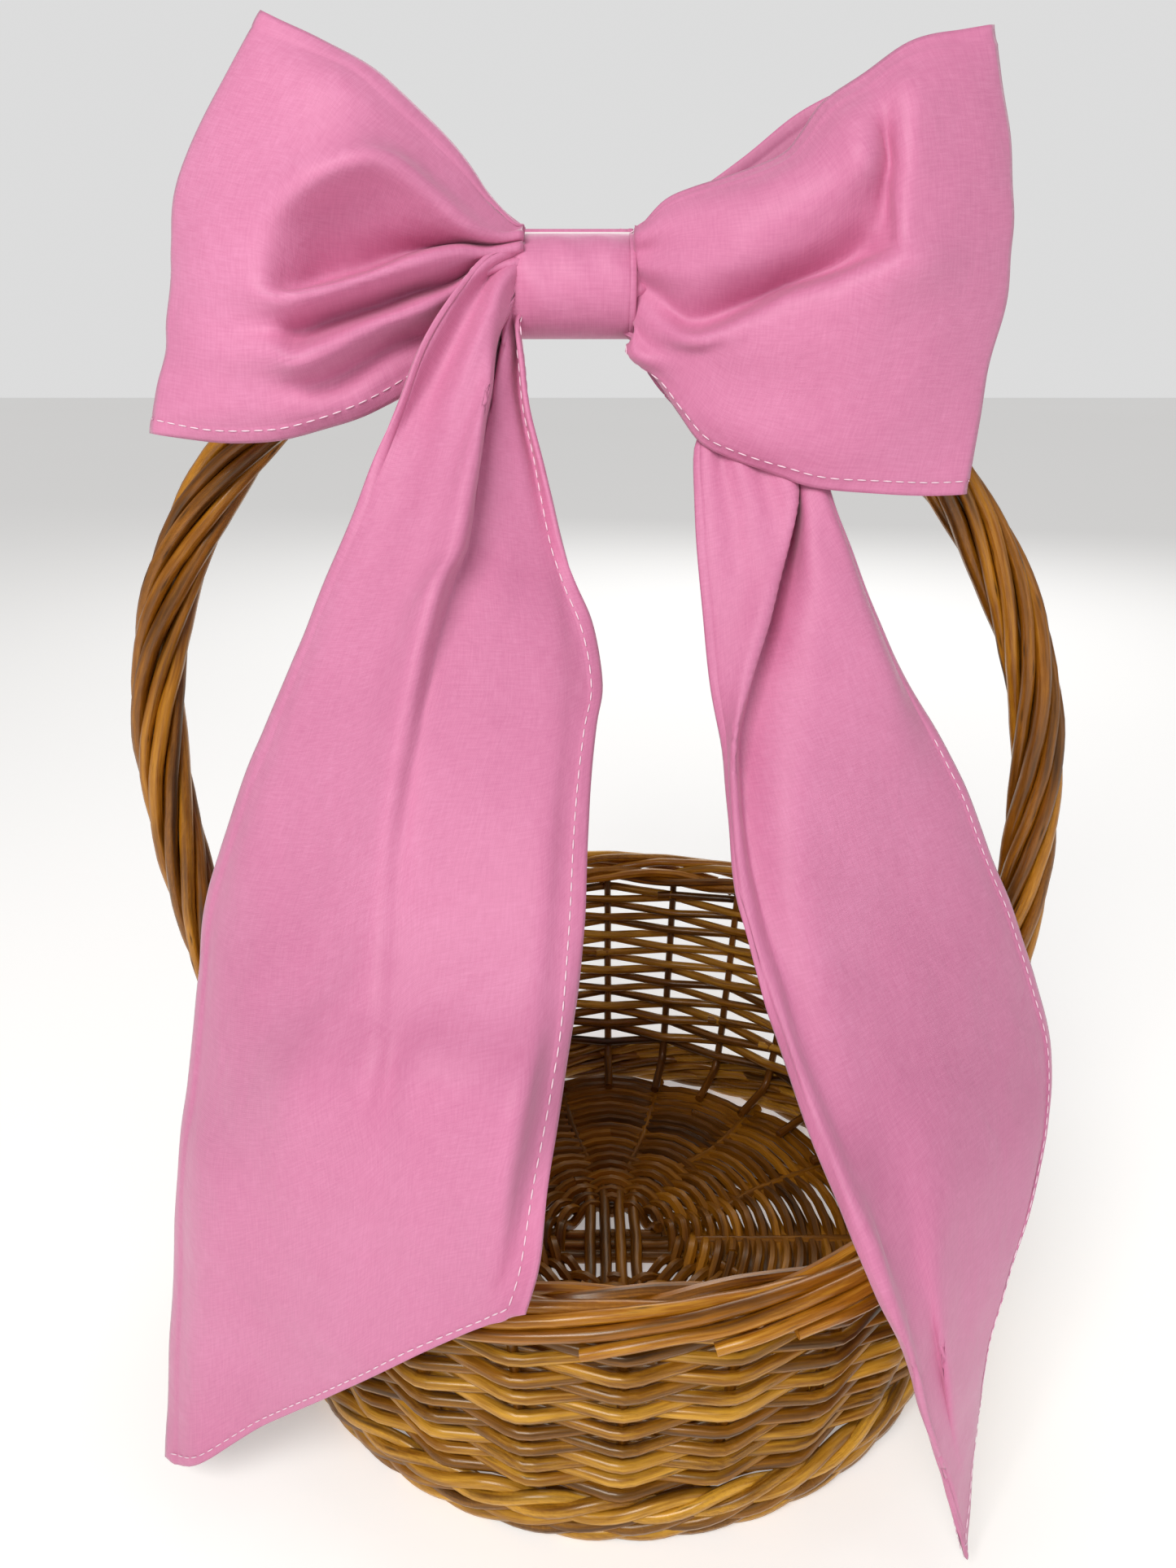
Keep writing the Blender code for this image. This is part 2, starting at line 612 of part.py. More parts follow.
def right_tail(pink, parent):
    """It starts under the right loop and falls over the rim to a slanted end with its low tip on the left."""
    root = RIGHT_TAIL_AXIS - Vector((0.0, 0.0, TAIL_PLAY / 2))
    edge = Vector((RIGHT_ROOT_WIDTH / 2, 0.0, 0.0))
    inner = [root - edge]
    inner += [hanging(0.0343, -0.062, 0.557), hanging(0.0390, -0.100, 0.339), near_rim(-70.3, 0.0077, 0.181)]
    inner += [over_rim(-68, 0.009, 1.089), over_rim(-60, 0.013, 0.536), over_rim(-53, 0.017, 0.089)]
    centre = [root]
    centre += [hanging(0.0603, -0.056, 0.557), hanging(0.0772, -0.082, 0.347), near_rim(-50.2, 0.0094, 0.185)]
    centre += [over_rim(-52, 0.008, 1.125), over_rim(-52, 0.011, 0.804), over_rim(-52, 0.015, 0.357)]
    outer = [root + edge]
    outer += [hanging(0.0926, -0.042, 0.581), hanging(0.1166, -0.050, 0.379), near_rim(-27.3, 0.0060, 0.206)]
    outer += [over_rim(-35, 0.007, 1.143), over_rim(-40, 0.008, 0.929), over_rim(-47, 0.012, 0.625)]
    tail("bow_tail_right", inner, centre, outer, pink, parent)


def build_bow(pink, deep, white):
    bow = joint_empty("bow_axis", BOW)
    tab_place = BOW + band_point(TAB_HINGE_ANGLE, 2 * TAPE_THICKNESS + 3 * GAP + BAND_THICKNESS / 2)
    tab = joint_empty("tab_axis", tab_place, bow)
    band(pink, bow)
    closure(pink, white, bow, tab)
    knot(deep, bow)
    loop("bow_loop_left", BOW + Vector((-0.0791, 0.0, 0.062)), BOW + Vector((-0.1161, 0.0, -0.040)), pink, bow)
    loop("bow_loop_right", BOW + Vector((0.1089, 0.0, 0.060)), BOW + Vector((0.1129, 0.0, -0.054)), pink, bow)
    left_tail(pink, joint_empty("left_tail_axis", LEFT_TAIL_AXIS, bow))
    right_tail(pink, joint_empty("right_tail_axis", RIGHT_TAIL_AXIS, bow))


def build():
    clear_scene()
    willow = material("willow", WILLOW, 0.42)
    dark = material("willow_dark", WILLOW_DARK, 0.5)
    pink = material("pink_cotton", PINK, 0.8)
    deep = material("pink_cotton_fold", PINK_DEEP, 0.8)
    white = material("white_tape", WHITE, 0.7)
    base_sticks(dark)
    flat_ring("base_weave", BASE_WEAVE_HOLE, FOOT_INNER - GAP, BASE_STACK, FOOT_TOP, dark, BASE_WEAVE_EDGE)
    flat_ring("foot_wale", FOOT_INNER, FOOT_RADIUS, 0.0, FOOT_TOP, willow, FOOT_ROUNDING)
    stakes(willow)
    weavers(willow)
    border(willow)
    handle_core(dark)
    handle_strands(willow)
    build_bow(pink, deep, white)


build()
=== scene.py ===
# %% [markdown]
# # An easter basket in willow and cotton
#
# The object is a round basket of varnished willow rods with a tall twisted handle, and a large bow of pink
# cotton strapped round the top of the handle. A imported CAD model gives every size, place and joint. This
# lesson builds what the eye sees round that model: rods that really pass over and under each other, and
# cloth with real folds, hems and stitches.
#
# Three kinds of work follow. Rods and stitches repeat along paths, so Geometry Nodes grow them. Cloth has
# one shape of its own, so it is lofted through rails. Colour, grain and weave come from shader groups.

# %% The frame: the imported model
import math
import random

import bpy
import numpy as np
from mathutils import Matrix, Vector, noise


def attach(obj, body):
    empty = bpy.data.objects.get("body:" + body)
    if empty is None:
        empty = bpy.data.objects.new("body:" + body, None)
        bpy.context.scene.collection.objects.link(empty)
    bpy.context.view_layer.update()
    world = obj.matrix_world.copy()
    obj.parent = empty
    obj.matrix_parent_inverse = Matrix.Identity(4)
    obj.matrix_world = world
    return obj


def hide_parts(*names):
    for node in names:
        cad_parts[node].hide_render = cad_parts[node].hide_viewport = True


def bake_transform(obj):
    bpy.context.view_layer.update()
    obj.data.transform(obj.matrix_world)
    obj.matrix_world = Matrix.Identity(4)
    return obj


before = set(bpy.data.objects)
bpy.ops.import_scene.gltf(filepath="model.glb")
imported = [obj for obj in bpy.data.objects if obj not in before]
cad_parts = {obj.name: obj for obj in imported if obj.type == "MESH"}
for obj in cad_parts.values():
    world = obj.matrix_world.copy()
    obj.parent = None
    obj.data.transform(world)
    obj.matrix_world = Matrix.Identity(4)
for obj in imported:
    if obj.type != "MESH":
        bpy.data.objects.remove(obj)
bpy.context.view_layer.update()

MM = 0.001

# %% [markdown]
# ## Camera, floor and light
#
# The camera stands in front of the bow and looks down into the basket, with a fairly wide lens, as a phone
# held at arm's length does. The floor is a plain pale sheet. A large soft lamp near the camera gives the
# broad highlights on the varnish, and a bright even sky fills the shadows.

# %% Camera
LENS = 36.2
LOOKING_DOWN = 20.45
camera_data = bpy.data.cameras.new("Camera")
camera_data.sensor_fit = "HORIZONTAL"
camera_data.sensor_width = 36.0
camera_data.lens = LENS
camera_data.clip_start = 0.01
camera = bpy.data.objects.new("Camera", camera_data)
camera.location = (-0.010, -0.383, 0.345)
camera.rotation_euler = (math.radians(90 - LOOKING_DOWN), 0, 0)
scene = bpy.context.scene
scene.collection.objects.link(camera)
scene.camera = camera
scene.view_settings.view_transform = "Standard"
print("camera lens", LENS, "mm, looking down", LOOKING_DOWN, "degrees")


# %% Colours and node helpers
def srgb(red, green, blue):
    """A screen colour from 0 to 255 as the linear colour that shaders use."""
    parts = [c / 255 for c in (red, green, blue)]
    return tuple(c / 12.92 if c <= 0.04045 else ((c + 0.055) / 1.055) ** 2.4 for c in parts) + (1.0,)


def add_node(tree, kind, settings=(), **inputs):
    """A node with its settings made and its inputs filled by name: a number, a colour or another socket."""
    node = tree.nodes.new(kind)
    for key, value in dict(settings).items():
        setattr(node, key, value)
    for name, value in inputs.items():
        name = name.replace("_", " ")
        socket = node.inputs[int(name[1:])] if name[0] == "i" and name[1:].isdigit() else node.inputs[name]
        if isinstance(value, bpy.types.NodeSocket):
            tree.links.new(value, socket)
        else:
            socket.default_value = value
    return node


def maths(tree, operation, a, b=0.0, c=None, clamp=False):
    """The result of one Math node; c is the third number of a MULTIPLY_ADD."""
    node = add_node(tree, "ShaderNodeMath", {"operation": operation, "use_clamp": clamp}, i0=a, i1=b)
    if c is not None:
        node.inputs[2].default_value = c
    return node.outputs[0]


def blended(tree, share, first, second):
    """A colour between two colours, by a share from 0 to 1."""
    mix = add_node(tree, "ShaderNodeMix", {"data_type": "RGBA"}, i0=share, i6=first, i7=second)
    return mix.outputs["Result"]


def new_group(name, kind, inputs, outputs):
    """An empty node group with named sockets, and its input and output nodes."""
    tree = bpy.data.node_groups.new(name, kind)
    for label, socket_type, default in inputs:
        socket = tree.interface.new_socket(label, in_out="INPUT", socket_type="NodeSocket" + socket_type)
        if default is not None:
            socket.default_value = default
    for label, socket_type in outputs:
        tree.interface.new_socket(label, in_out="OUTPUT", socket_type="NodeSocket" + socket_type)
    return tree, tree.nodes.new("NodeGroupInput").outputs, tree.nodes.new("NodeGroupOutput").inputs


def new_material(name, **settings):
    """A material with one Principled shader, its plain values set on the shader's own sockets."""
    material = bpy.data.materials.new(name)
    material.use_nodes = True
    shader = material.node_tree.nodes["Principled BSDF"]
    for key, value in settings.items():
        shader.inputs[key.replace("_", " ")].default_value = value
    return material, material.node_tree, shader


print("middle grey on a screen is", round(srgb(128, 128, 128)[0], 3), "in a shader")

# %% Floor
floor_material, tree, shader = new_material("pale floor", Roughness=0.85, Emission_Strength=0.33,
                                            Emission_Color=srgb(250, 249, 248))
specks = add_node(tree, "ShaderNodeTexNoise", Scale=9.0, Detail=3.0)
paper = blended(tree, specks.outputs["Fac"], srgb(236, 235, 233), srgb(243, 242, 241))
tree.links.new(paper, shader.inputs["Base Color"])

bpy.ops.mesh.primitive_plane_add(size=16.0, location=(0, 0, -0.0004))
floor = bpy.context.object
floor.name = "floor"
floor.data.materials.append(floor_material)
print("floor:", floor.dimensions.x, "m wide")


# %% Lamps and sky
def lamp(name, place, aim, size, power, colour=(1, 1, 1)):
    """A square soft lamp that looks at a point."""
    data = bpy.data.lights.new(name, "AREA")
    data.size = size
    data.energy = power
    data.color = colour
    made = bpy.data.objects.new(name, data)
    made.location = place
    made.rotation_euler = (Vector(aim) - Vector(place)).to_track_quat("-Z", "Y").to_euler()
    scene.collection.objects.link(made)


lamp("key", (-0.29, -0.82, 0.85), (0, 0, 0.22), 0.44, 8.4, (1.0, 0.985, 0.96))
lamp("fill", (1.00, -0.70, 0.50), (0, 0, 0.20), 0.70, 1.6)
lamp("behind", (0.30, 1.40, 1.10), (0, 0, 0.20), 0.90, 9.0)
SKY_LIGHT = 0.34
SKY_SEEN = 0.72
world = bpy.data.worlds.new("soft studio")
world.use_nodes = True
sky = world.node_tree
rays = add_node(sky, "ShaderNodeLightPath")
strength = add_node(sky, "ShaderNodeMix", {"data_type": "FLOAT"}, i0=rays.outputs["Is Camera Ray"],
                    i2=SKY_LIGHT, i3=SKY_SEEN)
sky.nodes["Background"].inputs["Color"].default_value = (1, 1, 1, 1)
sky.links.new(strength.outputs["Result"], sky.nodes["Background"].inputs["Strength"])
scene.world = world
print("lamps:", [light.name for light in bpy.data.lights])

# %% [markdown]
# ## Willow: one shader group for every rod
#
# Willow rods are peeled, boiled to a warm brown and varnished. Each rod has its own tone, fine streaks run
# along it, small dark bud scars sit on it, and the varnish gives a clear highlight. A pattern in plain
# object space would cut across the rods, so each rod carries its own coordinates as mesh attributes:
# `along` is the distance along it, `ring` the direction round it, and `rod` a number of its own.

# %% The willow grain group: its sockets and its coordinates
tree, given, result = new_group(
    "willow grain", "ShaderNodeTree",
    [("Dark", "Color", None), ("Middle", "Color", None), ("Light", "Color", None),
     ("Scars", "Float", 0.5), ("Dirt", "Float", 0.4), ("Varnish", "Float", 0.5)],
    [("Color", "Color"), ("Roughness", "Float"), ("Coat", "Float"), ("Height", "Float")])
willow_grain = tree
along = add_node(tree, "ShaderNodeAttribute", {"attribute_name": "along"}).outputs["Fac"]
ring = add_node(tree, "ShaderNodeAttribute", {"attribute_name": "ring"}).outputs["Vector"]
rod = add_node(tree, "ShaderNodeAttribute", {"attribute_name": "rod"}).outputs["Fac"]
round_it = add_node(tree, "ShaderNodeSeparateXYZ", Vector=ring)


def rod_place(around, lengthwise, shift):
    """Coordinates of one rod's own: a pattern gets finer round it and along it as the first two grow."""
    place = add_node(tree, "ShaderNodeCombineXYZ")
    for k, axis in enumerate("XY"):
        spread = maths(tree, "MULTIPLY", round_it.outputs[axis], around)
        own = maths(tree, "MULTIPLY", rod, shift * (k + 1))
        tree.links.new(maths(tree, "ADD", spread, own), place.inputs[k])
    tree.links.new(maths(tree, "MULTIPLY", along, lengthwise), place.inputs[2])
    return place.outputs[0]


def rod_noise(place, detail):
    """Noise on a rod's own coordinates, finer grained as the detail grows."""
    return add_node(tree, "ShaderNodeTexNoise", Vector=place, Scale=1.0, Detail=detail).outputs["Fac"]


streaks = rod_noise(rod_place(1.6, 55.0, 37.0), 5.0)
fibres = rod_noise(rod_place(5.0, 130.0, 11.0), 3.0)
patches = rod_noise(rod_place(0.5, 16.0, 71.0), 2.0)
spots = add_node(tree, "ShaderNodeTexVoronoi", Vector=rod_place(1.3, 75.0, 23.0), Scale=0.75)
from_scar = spots.outputs["Distance"]
own_tone = add_node(tree, "ShaderNodeTexWhiteNoise", {"noise_dimensions": "1D"}, W=rod).outputs["Value"]
print("the willow grain reads along, ring and rod")

# %% The willow grain group: tone, scars and dirt
tone = maths(tree, "MULTIPLY", streaks, 0.75)
for source, weight in ((own_tone, 0.50), (patches, 0.55), (fibres, 0.30)):
    tone = maths(tree, "ADD", tone, maths(tree, "MULTIPLY", source, weight))
tone = maths(tree, "MULTIPLY_ADD", tone, 1.25, -0.78)
low_half = maths(tree, "MULTIPLY", tone, 2.0, clamp=True)
high_half = maths(tree, "SUBTRACT", maths(tree, "MULTIPLY", tone, 2.0), 1.0, clamp=True)
wood = blended(tree, high_half, blended(tree, low_half, given["Dark"], given["Middle"]), given["Light"])
scar = maths(tree, "SUBTRACT", 1.0, maths(tree, "MULTIPLY", from_scar, 4.5), clamp=True)
seldom = maths(tree, "GREATER_THAN", patches, 0.50)
scar = maths(tree, "MULTIPLY", maths(tree, "MULTIPLY", scar, seldom), given["Scars"], clamp=True)
stain = maths(tree, "MULTIPLY", maths(tree, "SUBTRACT", 0.46, patches, clamp=True), 5.0)
grime = maths(tree, "MULTIPLY", stain, given["Dirt"], clamp=True)
scarred = blended(tree, scar, wood, srgb(48, 24, 8))
tree.links.new(blended(tree, grime, scarred, srgb(44, 22, 6)), result["Color"])

# %% The willow grain group: varnish and relief
rough = maths(tree, "MULTIPLY_ADD", fibres, 0.30, 0.24)
tree.links.new(maths(tree, "ADD", rough, maths(tree, "MULTIPLY", scar, 0.3)), result["Roughness"])
varnish = maths(tree, "SUBTRACT", given["Varnish"], maths(tree, "MULTIPLY", scar, 0.5), clamp=True)
tree.links.new(varnish, result["Coat"])
height = maths(tree, "ADD", maths(tree, "MULTIPLY", streaks, 0.6), maths(tree, "MULTIPLY", fibres, 0.4))
tree.links.new(maths(tree, "SUBTRACT", height, maths(tree, "MULTIPLY", scar, 0.8)), result["Height"])
print("willow grain:", len(willow_grain.nodes), "nodes")

# %% Willow materials
AMBER = (1.0, 0.80, 0.48, 1.0)


def willow(name, dark, middle, light, scars, dirt, varnish=0.6):
    """A willow material with its own three tones, number of bud scars and dark stains in random patches."""
    material, tree, shader = new_material(name, Coat_Roughness=0.20, Specular_IOR_Level=0.35,
                                          Coat_Tint=AMBER, Specular_Tint=AMBER)
    grain = add_node(tree, "ShaderNodeGroup", {"node_tree": willow_grain},
                     Dark=srgb(*dark), Middle=srgb(*middle), Light=srgb(*light), Scars=scars, Dirt=dirt,
                     Varnish=varnish)
    bump = add_node(tree, "ShaderNodeBump", Strength=0.55, Distance=0.0006, Height=grain.outputs["Height"])
    tree.links.new(grain.outputs["Color"], shader.inputs["Base Color"])
    tree.links.new(grain.outputs["Roughness"], shader.inputs["Roughness"])
    tree.links.new(grain.outputs["Coat"], shader.inputs["Coat Weight"])
    tree.links.new(bump.outputs["Normal"], shader.inputs["Normal"])
    return material


wall_willow = willow("willow wall", (60, 31, 3), (134, 88, 15), (214, 168, 62), 0.75, 0.85, 0.5)
stake_willow = willow("willow stakes", (50, 25, 3), (104, 64, 12), (150, 102, 30), 0.6, 0.8)
# The border's tones are lighter than the wall's, on top of the rods' own tone: a painted highlight for the
# light that falls on the rim.
rim_willow_painted_light = willow("willow border with painted highlight", (66, 34, 3), (156, 102, 20), (222, 174, 68), 0.8, 0.6)
base_willow = willow("willow base", (54, 26, 2), (122, 74, 6), (184, 124, 26), 0.5, 0.7, 0.1)
handle_willow = willow("willow handle", (58, 29, 3), (134, 84, 14), (196, 142, 44), 1.0, 0.8)
print("willow materials share the group", willow_grain.name)

# %% [markdown]
# ## Growing rods along lines
#
# A rod is a line with a thickness. The script lays the middle lines of all rods of one piece as edges of
# a guide mesh, with the thickness stored on each point. One Geometry Nodes tree then grows them: it makes
# curves of the edges, lets them wander a little, sweeps a ring along them and closes their cut ends. It
# also writes the attributes that the willow grain reads.

# %% The tree that grows rods
rod_tree, given, result = new_group(
    "Rods along lines", "GeometryNodeTree",
    [("Geometry", "Geometry", None), ("Sides", "Int", 8), ("Wander", "Float", 0.0002),
     ("Wander scale", "Float", 60.0), ("Seed", "Float", 1.0), ("Material", "Material", None)],
    [("Geometry", "Geometry")])
curves = add_node(rod_tree, "GeometryNodeMeshToCurve", Mesh=given["Geometry"])
own_id = add_node(rod_tree, "GeometryNodeInputNamedAttribute", {"data_type": "FLOAT"}, Name="rod")
girth = add_node(rod_tree, "GeometryNodeInputNamedAttribute", {"data_type": "FLOAT"}, Name="girth")
place = add_node(rod_tree, "GeometryNodeInputPosition")
own_place = maths(rod_tree, "MULTIPLY", own_id.outputs["Attribute"], 19.0)
drift = add_node(rod_tree, "ShaderNodeTexNoise", {"noise_dimensions": "4D"}, Vector=place.outputs[0],
                 W=maths(rod_tree, "ADD", own_place, given["Seed"]), Scale=given["Wander scale"],
                 Detail=1.0)
centred = add_node(rod_tree, "ShaderNodeVectorMath", {"operation": "SUBTRACT"},
                   i0=drift.outputs["Color"], i1=(0.5, 0.5, 0.5))
offset = add_node(rod_tree, "ShaderNodeVectorMath", {"operation": "SCALE"},
                  i0=centred.outputs[0], Scale=maths(rod_tree, "MULTIPLY", given["Wander"], 4.0))
moved = add_node(rod_tree, "GeometryNodeSetPosition", Geometry=curves.outputs[0], Offset=offset.outputs[0])
length = add_node(rod_tree, "GeometryNodeSplineParameter")
measured = add_node(rod_tree, "GeometryNodeStoreNamedAttribute", {"data_type": "FLOAT", "domain": "POINT"},
                    Geometry=moved.outputs[0], Name="along", Value=length.outputs["Length"])
circle = add_node(rod_tree, "GeometryNodeCurvePrimitiveCircle", Resolution=given["Sides"], Radius=1.0)
facing = add_node(rod_tree, "GeometryNodeStoreNamedAttribute",
                  {"data_type": "FLOAT_VECTOR", "domain": "POINT"},
                  Geometry=circle.outputs["Curve"], Name="ring", Value=place.outputs[0])
swept = add_node(rod_tree, "GeometryNodeCurveToMesh", Curve=measured.outputs[0],
                 Profile_Curve=facing.outputs[0], Scale=girth.outputs["Attribute"], Fill_Caps=True)
smooth = add_node(rod_tree, "GeometryNodeSetShadeSmooth", Geometry=swept.outputs[0], Shade_Smooth=True)
real = add_node(rod_tree, "GeometryNodeRealizeInstances", Geometry=smooth.outputs[0])
painted = add_node(rod_tree, "GeometryNodeSetMaterial", Geometry=real.outputs[0],
                   Material=given["Material"])
rod_tree.links.new(painted.outputs[0], result[0])
print("the tree that grows rods has", len(rod_tree.nodes), "nodes")


# %% Laying guides and turning the grown rods into a plain mesh
def lines_mesh(name, lines, **attributes):
    """A mesh of edges only, one chain for each line, with a value for every point of every line."""
    mesh = bpy.data.meshes.new(name)
    edges = []
    start = 0
    for line in lines:
        edges += [(start + k, start + k + 1) for k in range(len(line) - 1)]
        start += len(line)
    mesh.from_pydata(np.vstack(lines).tolist(), edges, [])
    for key, values in attributes.items():
        layer = mesh.attributes.new(key, "FLOAT", "POINT")
        layer.data.foreach_set("value", np.concatenate(values).astype(np.float32))
    return mesh


def grown(name, mesh, tree, crease=50.0, **inputs):
    """Runs a Geometry Nodes tree on a mesh and returns its result as a plain mesh object."""
    guide = bpy.data.objects.new(name + "_guide", mesh)
    modifier = guide.modifiers.new("Grow", "NODES")
    modifier.node_group = tree
    for item in tree.interface.items_tree:
        if item.name in inputs and item.in_out == "INPUT":
            modifier[item.identifier] = inputs[item.name]
    scene.collection.objects.link(guide)
    graph = bpy.context.evaluated_depsgraph_get()
    made = bpy.data.meshes.new_from_object(guide.evaluated_get(graph), depsgraph=graph,
                                           preserve_all_data_layers=True)
    guide.modifiers.remove(modifier)
    bpy.data.objects.remove(guide)
    made.name = name
    if crease:
        made.set_sharp_from_angle(angle=math.radians(crease))
    piece = bpy.data.objects.new(name, made)
    scene.collection.objects.link(piece)
    return piece


def rods(name, lines, girths, look, nodes, sides=8, wander=0.0002):
    """Grows one piece of many rods, which rides on the basket and stands for these CAD nodes."""
    chance = random.Random(name)
    ids = [np.full(len(line), chance.random()) for line in lines]
    full = [np.broadcast_to(np.asarray(g, float), len(line)) for g, line in zip(girths, lines)]
    mesh = lines_mesh(name, lines, girth=full, rod=ids)
    inputs = {"Sides": sides, "Wander": wander, "Wander scale": 60.0, "Seed": 1.0, "Material": look}
    piece = grown(name, mesh, rod_tree, **inputs)
    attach(piece, "basket")
    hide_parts(*nodes)
    print(f"{name}: {len(lines)} rods, {len(piece.data.polygons)} faces")


# %% Points, smooth lines and even steps
def polar(radius, angle, z):
    """A point by its distance from the basket's middle line, its angle in radians and its height."""
    return (radius * math.cos(angle), radius * math.sin(angle), z)


def smooth_line(points, samples=10):
    """A Catmull-Rom curve through all the points, as an array of points."""
    p = np.asarray(points, float)
    q = np.vstack([2 * p[0] - p[1], p, 2 * p[-1] - p[-2]])
    t = np.linspace(0, 1, samples, endpoint=False)[:, None]
    parts = []
    for a, b, c, d in zip(q, q[1:], q[2:], q[3:]):
        parts.append(b + (c - a) * t / 2 + (2 * a - 5 * b + 4 * c - d) * t**2 / 2
                     + (3 * b - a - 3 * c + d) * t**3 / 2)
    return np.vstack(parts + [p[-1:]])


def evenly(points, shares):
    """Points of a polyline at shares of its length from 0 to 1."""
    steps = np.linalg.norm(np.diff(points, axis=0), axis=1)
    reached = np.concatenate([[0], np.cumsum(steps)]) / max(steps.sum(), 1e-12)
    return np.column_stack([np.interp(shares, reached, points[:, k]) for k in range(3)])


print("a smooth line through 3 points has", len(smooth_line([(0, 0, 0), (1, 0, 0), (1, 1, 0)])), "points")

# %% [markdown]
# ## Base, foot and stakes
#
# Seven thick sticks cross in the middle of the base and fan out to fourteen spokes. Two thin rods chase
# each other round them, one over a spoke where the other goes under. The stakes start on the base, turn up
# and run to the rim. Three rounds of twisted rods, the wale, lock the corner where base and wall meet.

# %% Base sticks
PLACES = 28
SPOKES = 14
STICK_APART = 6.2
STICK_CROSSING = 22


def stick_point(side, turn, end, r, z):
    """A point of a base stick, r millimetres out: parallel at the crossing, fanned out beyond it."""
    if r < 40:
        toward = math.radians(turn)
        across = math.radians(turn + 90)
        apart = side * STICK_APART * (1 + (r - STICK_CROSSING) / 26)
        x = end * r * math.cos(toward) + apart * math.cos(across)
        y = end * r * math.sin(toward) + apart * math.sin(across)
    else:
        bent = math.radians(turn + 360 / SPOKES * side * end + (180 if end < 0 else 0))
        x = r * math.cos(bent)
        y = r * math.sin(bent)
    return (x * MM, y * MM, z * MM)


def base_stick(side, turn, level):
    """The middle line of a base stick, which dips or rises to its level where the sticks cross."""
    reach = [(113, 5.2), (70, 5.2), (36, 5.0), (STICK_CROSSING, level)]
    middle = math.radians(turn + 90)
    line = [stick_point(side, turn, -1, r, z) for r, z in reach]
    line.append((side * STICK_APART * math.cos(middle) * MM, side * STICK_APART * math.sin(middle) * MM,
                 level * MM))
    line += [stick_point(side, turn, 1, r, z) for r, z in reach[::-1]]
    return smooth_line(line, 5)


lower_sticks = [base_stick(k - 1.0, 0.0, 2.7) for k in range(3)]
upper_sticks = [base_stick(k - 1.5, 90.0, 7.0) for k in range(4)]
rods("base_sticks", lower_sticks + upper_sticks, [0.0023] * 7, base_willow,
     [f"base_stick_lower_{k}" for k in (1, 2, 3)] + [f"base_stick_upper_{k}" for k in (1, 2, 3, 4)],
     wander=0.0003)

# %% Base weave
BASE_TURNS = 17
BASE_INNER = 0.0190
BASE_OUTER = 0.1125
BASE_LEVEL = 0.0052
BASE_WAVE = 0.0029
BASE_ROD_STEPS = 92
base_lines = []
for strand in (0, 1):
    line = []
    steps = BASE_TURNS * SPOKES * 4
    behind = strand * 0.5 / BASE_TURNS
    for k in range(steps + 1):
        angle = 2 * math.pi * k / (SPOKES * 4)
        wave = math.cos(SPOKES / 2 * angle + strand * math.pi)
        out = (k / steps + behind) / (1 + 0.5 / BASE_TURNS)
        radius = BASE_INNER + (BASE_OUTER - BASE_INNER) * out
        line.append(polar(radius, angle + math.radians(12.8), BASE_LEVEL + BASE_WAVE * wave))
    cuts = list(range(0, steps, BASE_ROD_STEPS)) + [steps]
    base_lines += [np.array(line[a:b + 1]) for a, b in zip(cuts, cuts[1:])]
chance = random.Random(3)
base_girths = [np.linspace(0.0024, 0.0019, len(line)) * chance.uniform(0.90, 1.04) for line in base_lines]
rods("base_weave_rods", base_lines, base_girths, base_willow, ["base_weave"], sides=6, wander=0.0003)


# %% The wall's outline, and the stakes
FOOT_RADIUS = 0.121
FOOT_TOP = 0.0153
WALL_TOP = 0.1085
WALL_TOP_RADIUS = 0.1409


def wall_radius(z):
    """Radius of the stakes' middle line at a height: a bowl with a slight belly."""
    t = min(max((z - FOOT_TOP) / (WALL_TOP - FOOT_TOP), 0.0), 1.0)
    return FOOT_RADIUS + (WALL_TOP_RADIUS - FOOT_RADIUS) * (1 - (1 - t) ** 1.35)


stake_lines = []
chance = random.Random(4)
for k in range(PLACES):
    if k % (PLACES // 2) == 0:
        continue
    angle = 2 * math.pi * k / PLACES
    profile = [(0.097, 0.0112), (0.110, 0.0128), (0.1175, 0.0146), (0.1212, 0.0195)]
    profile += [(wall_radius(z), z) for z in (0.030, 0.045, 0.060, 0.075, 0.090, 0.1055)]
    lean = chance.uniform(-0.004, 0.004)
    stake_lines.append(smooth_line([polar(r, angle + lean * z / 0.1, z) for r, z in profile], 4))
stake_girths = [np.linspace(0.0019, 0.0016, len(line)) for line in stake_lines]
rods("side_stakes", stake_lines, stake_girths, stake_willow, [f"stake_{k:02d}" for k in range(1, 27)])


# %% Foot wale: rounds of three rods twisted round each other
def wale(rounds, waves, girth):
    """Rounds of three rods that pass over each other like a rope laid round the basket."""
    lines, girths = [], []
    for radius, level, swing, rise in rounds:
        for k in range(3):
            line = []
            for i in range(waves * 16 + 1):
                angle = 2 * math.pi * i / (waves * 16)
                phase = waves * angle + 2 * math.pi * k / 3 + level * 900
                line.append(polar(radius + swing * math.cos(phase), angle + k * 0.3,
                                  level + rise * math.sin(phase)))
            lines.append(np.array(line))
            girths.append(girth * (1 + 0.10 * math.sin(7 * k + level * 5000)))
    return lines, girths


wale_lines, wale_girths = wale(
    [(0.1222, 0.0040, 0.0014, 0.0018), (0.1236, 0.0090, 0.0016, 0.0027), (0.1250, 0.0150, 0.0016, 0.0030)],
    14, 0.0021)
rods("foot_wale_rods", wale_lines, wale_girths, wall_willow, ["foot_wale"], sides=8)

# %% [markdown]
# ## The wall
#
# The side is plain randing: a rod passes outside one stake and inside the next, and the rod above does the
# opposite. Rods are stiff, so each runs straight from stake to stake and bends sharply where it rounds one.
# A rod is used up after a dozen or two stakes. Its thin end stays inside, and the next one starts there.

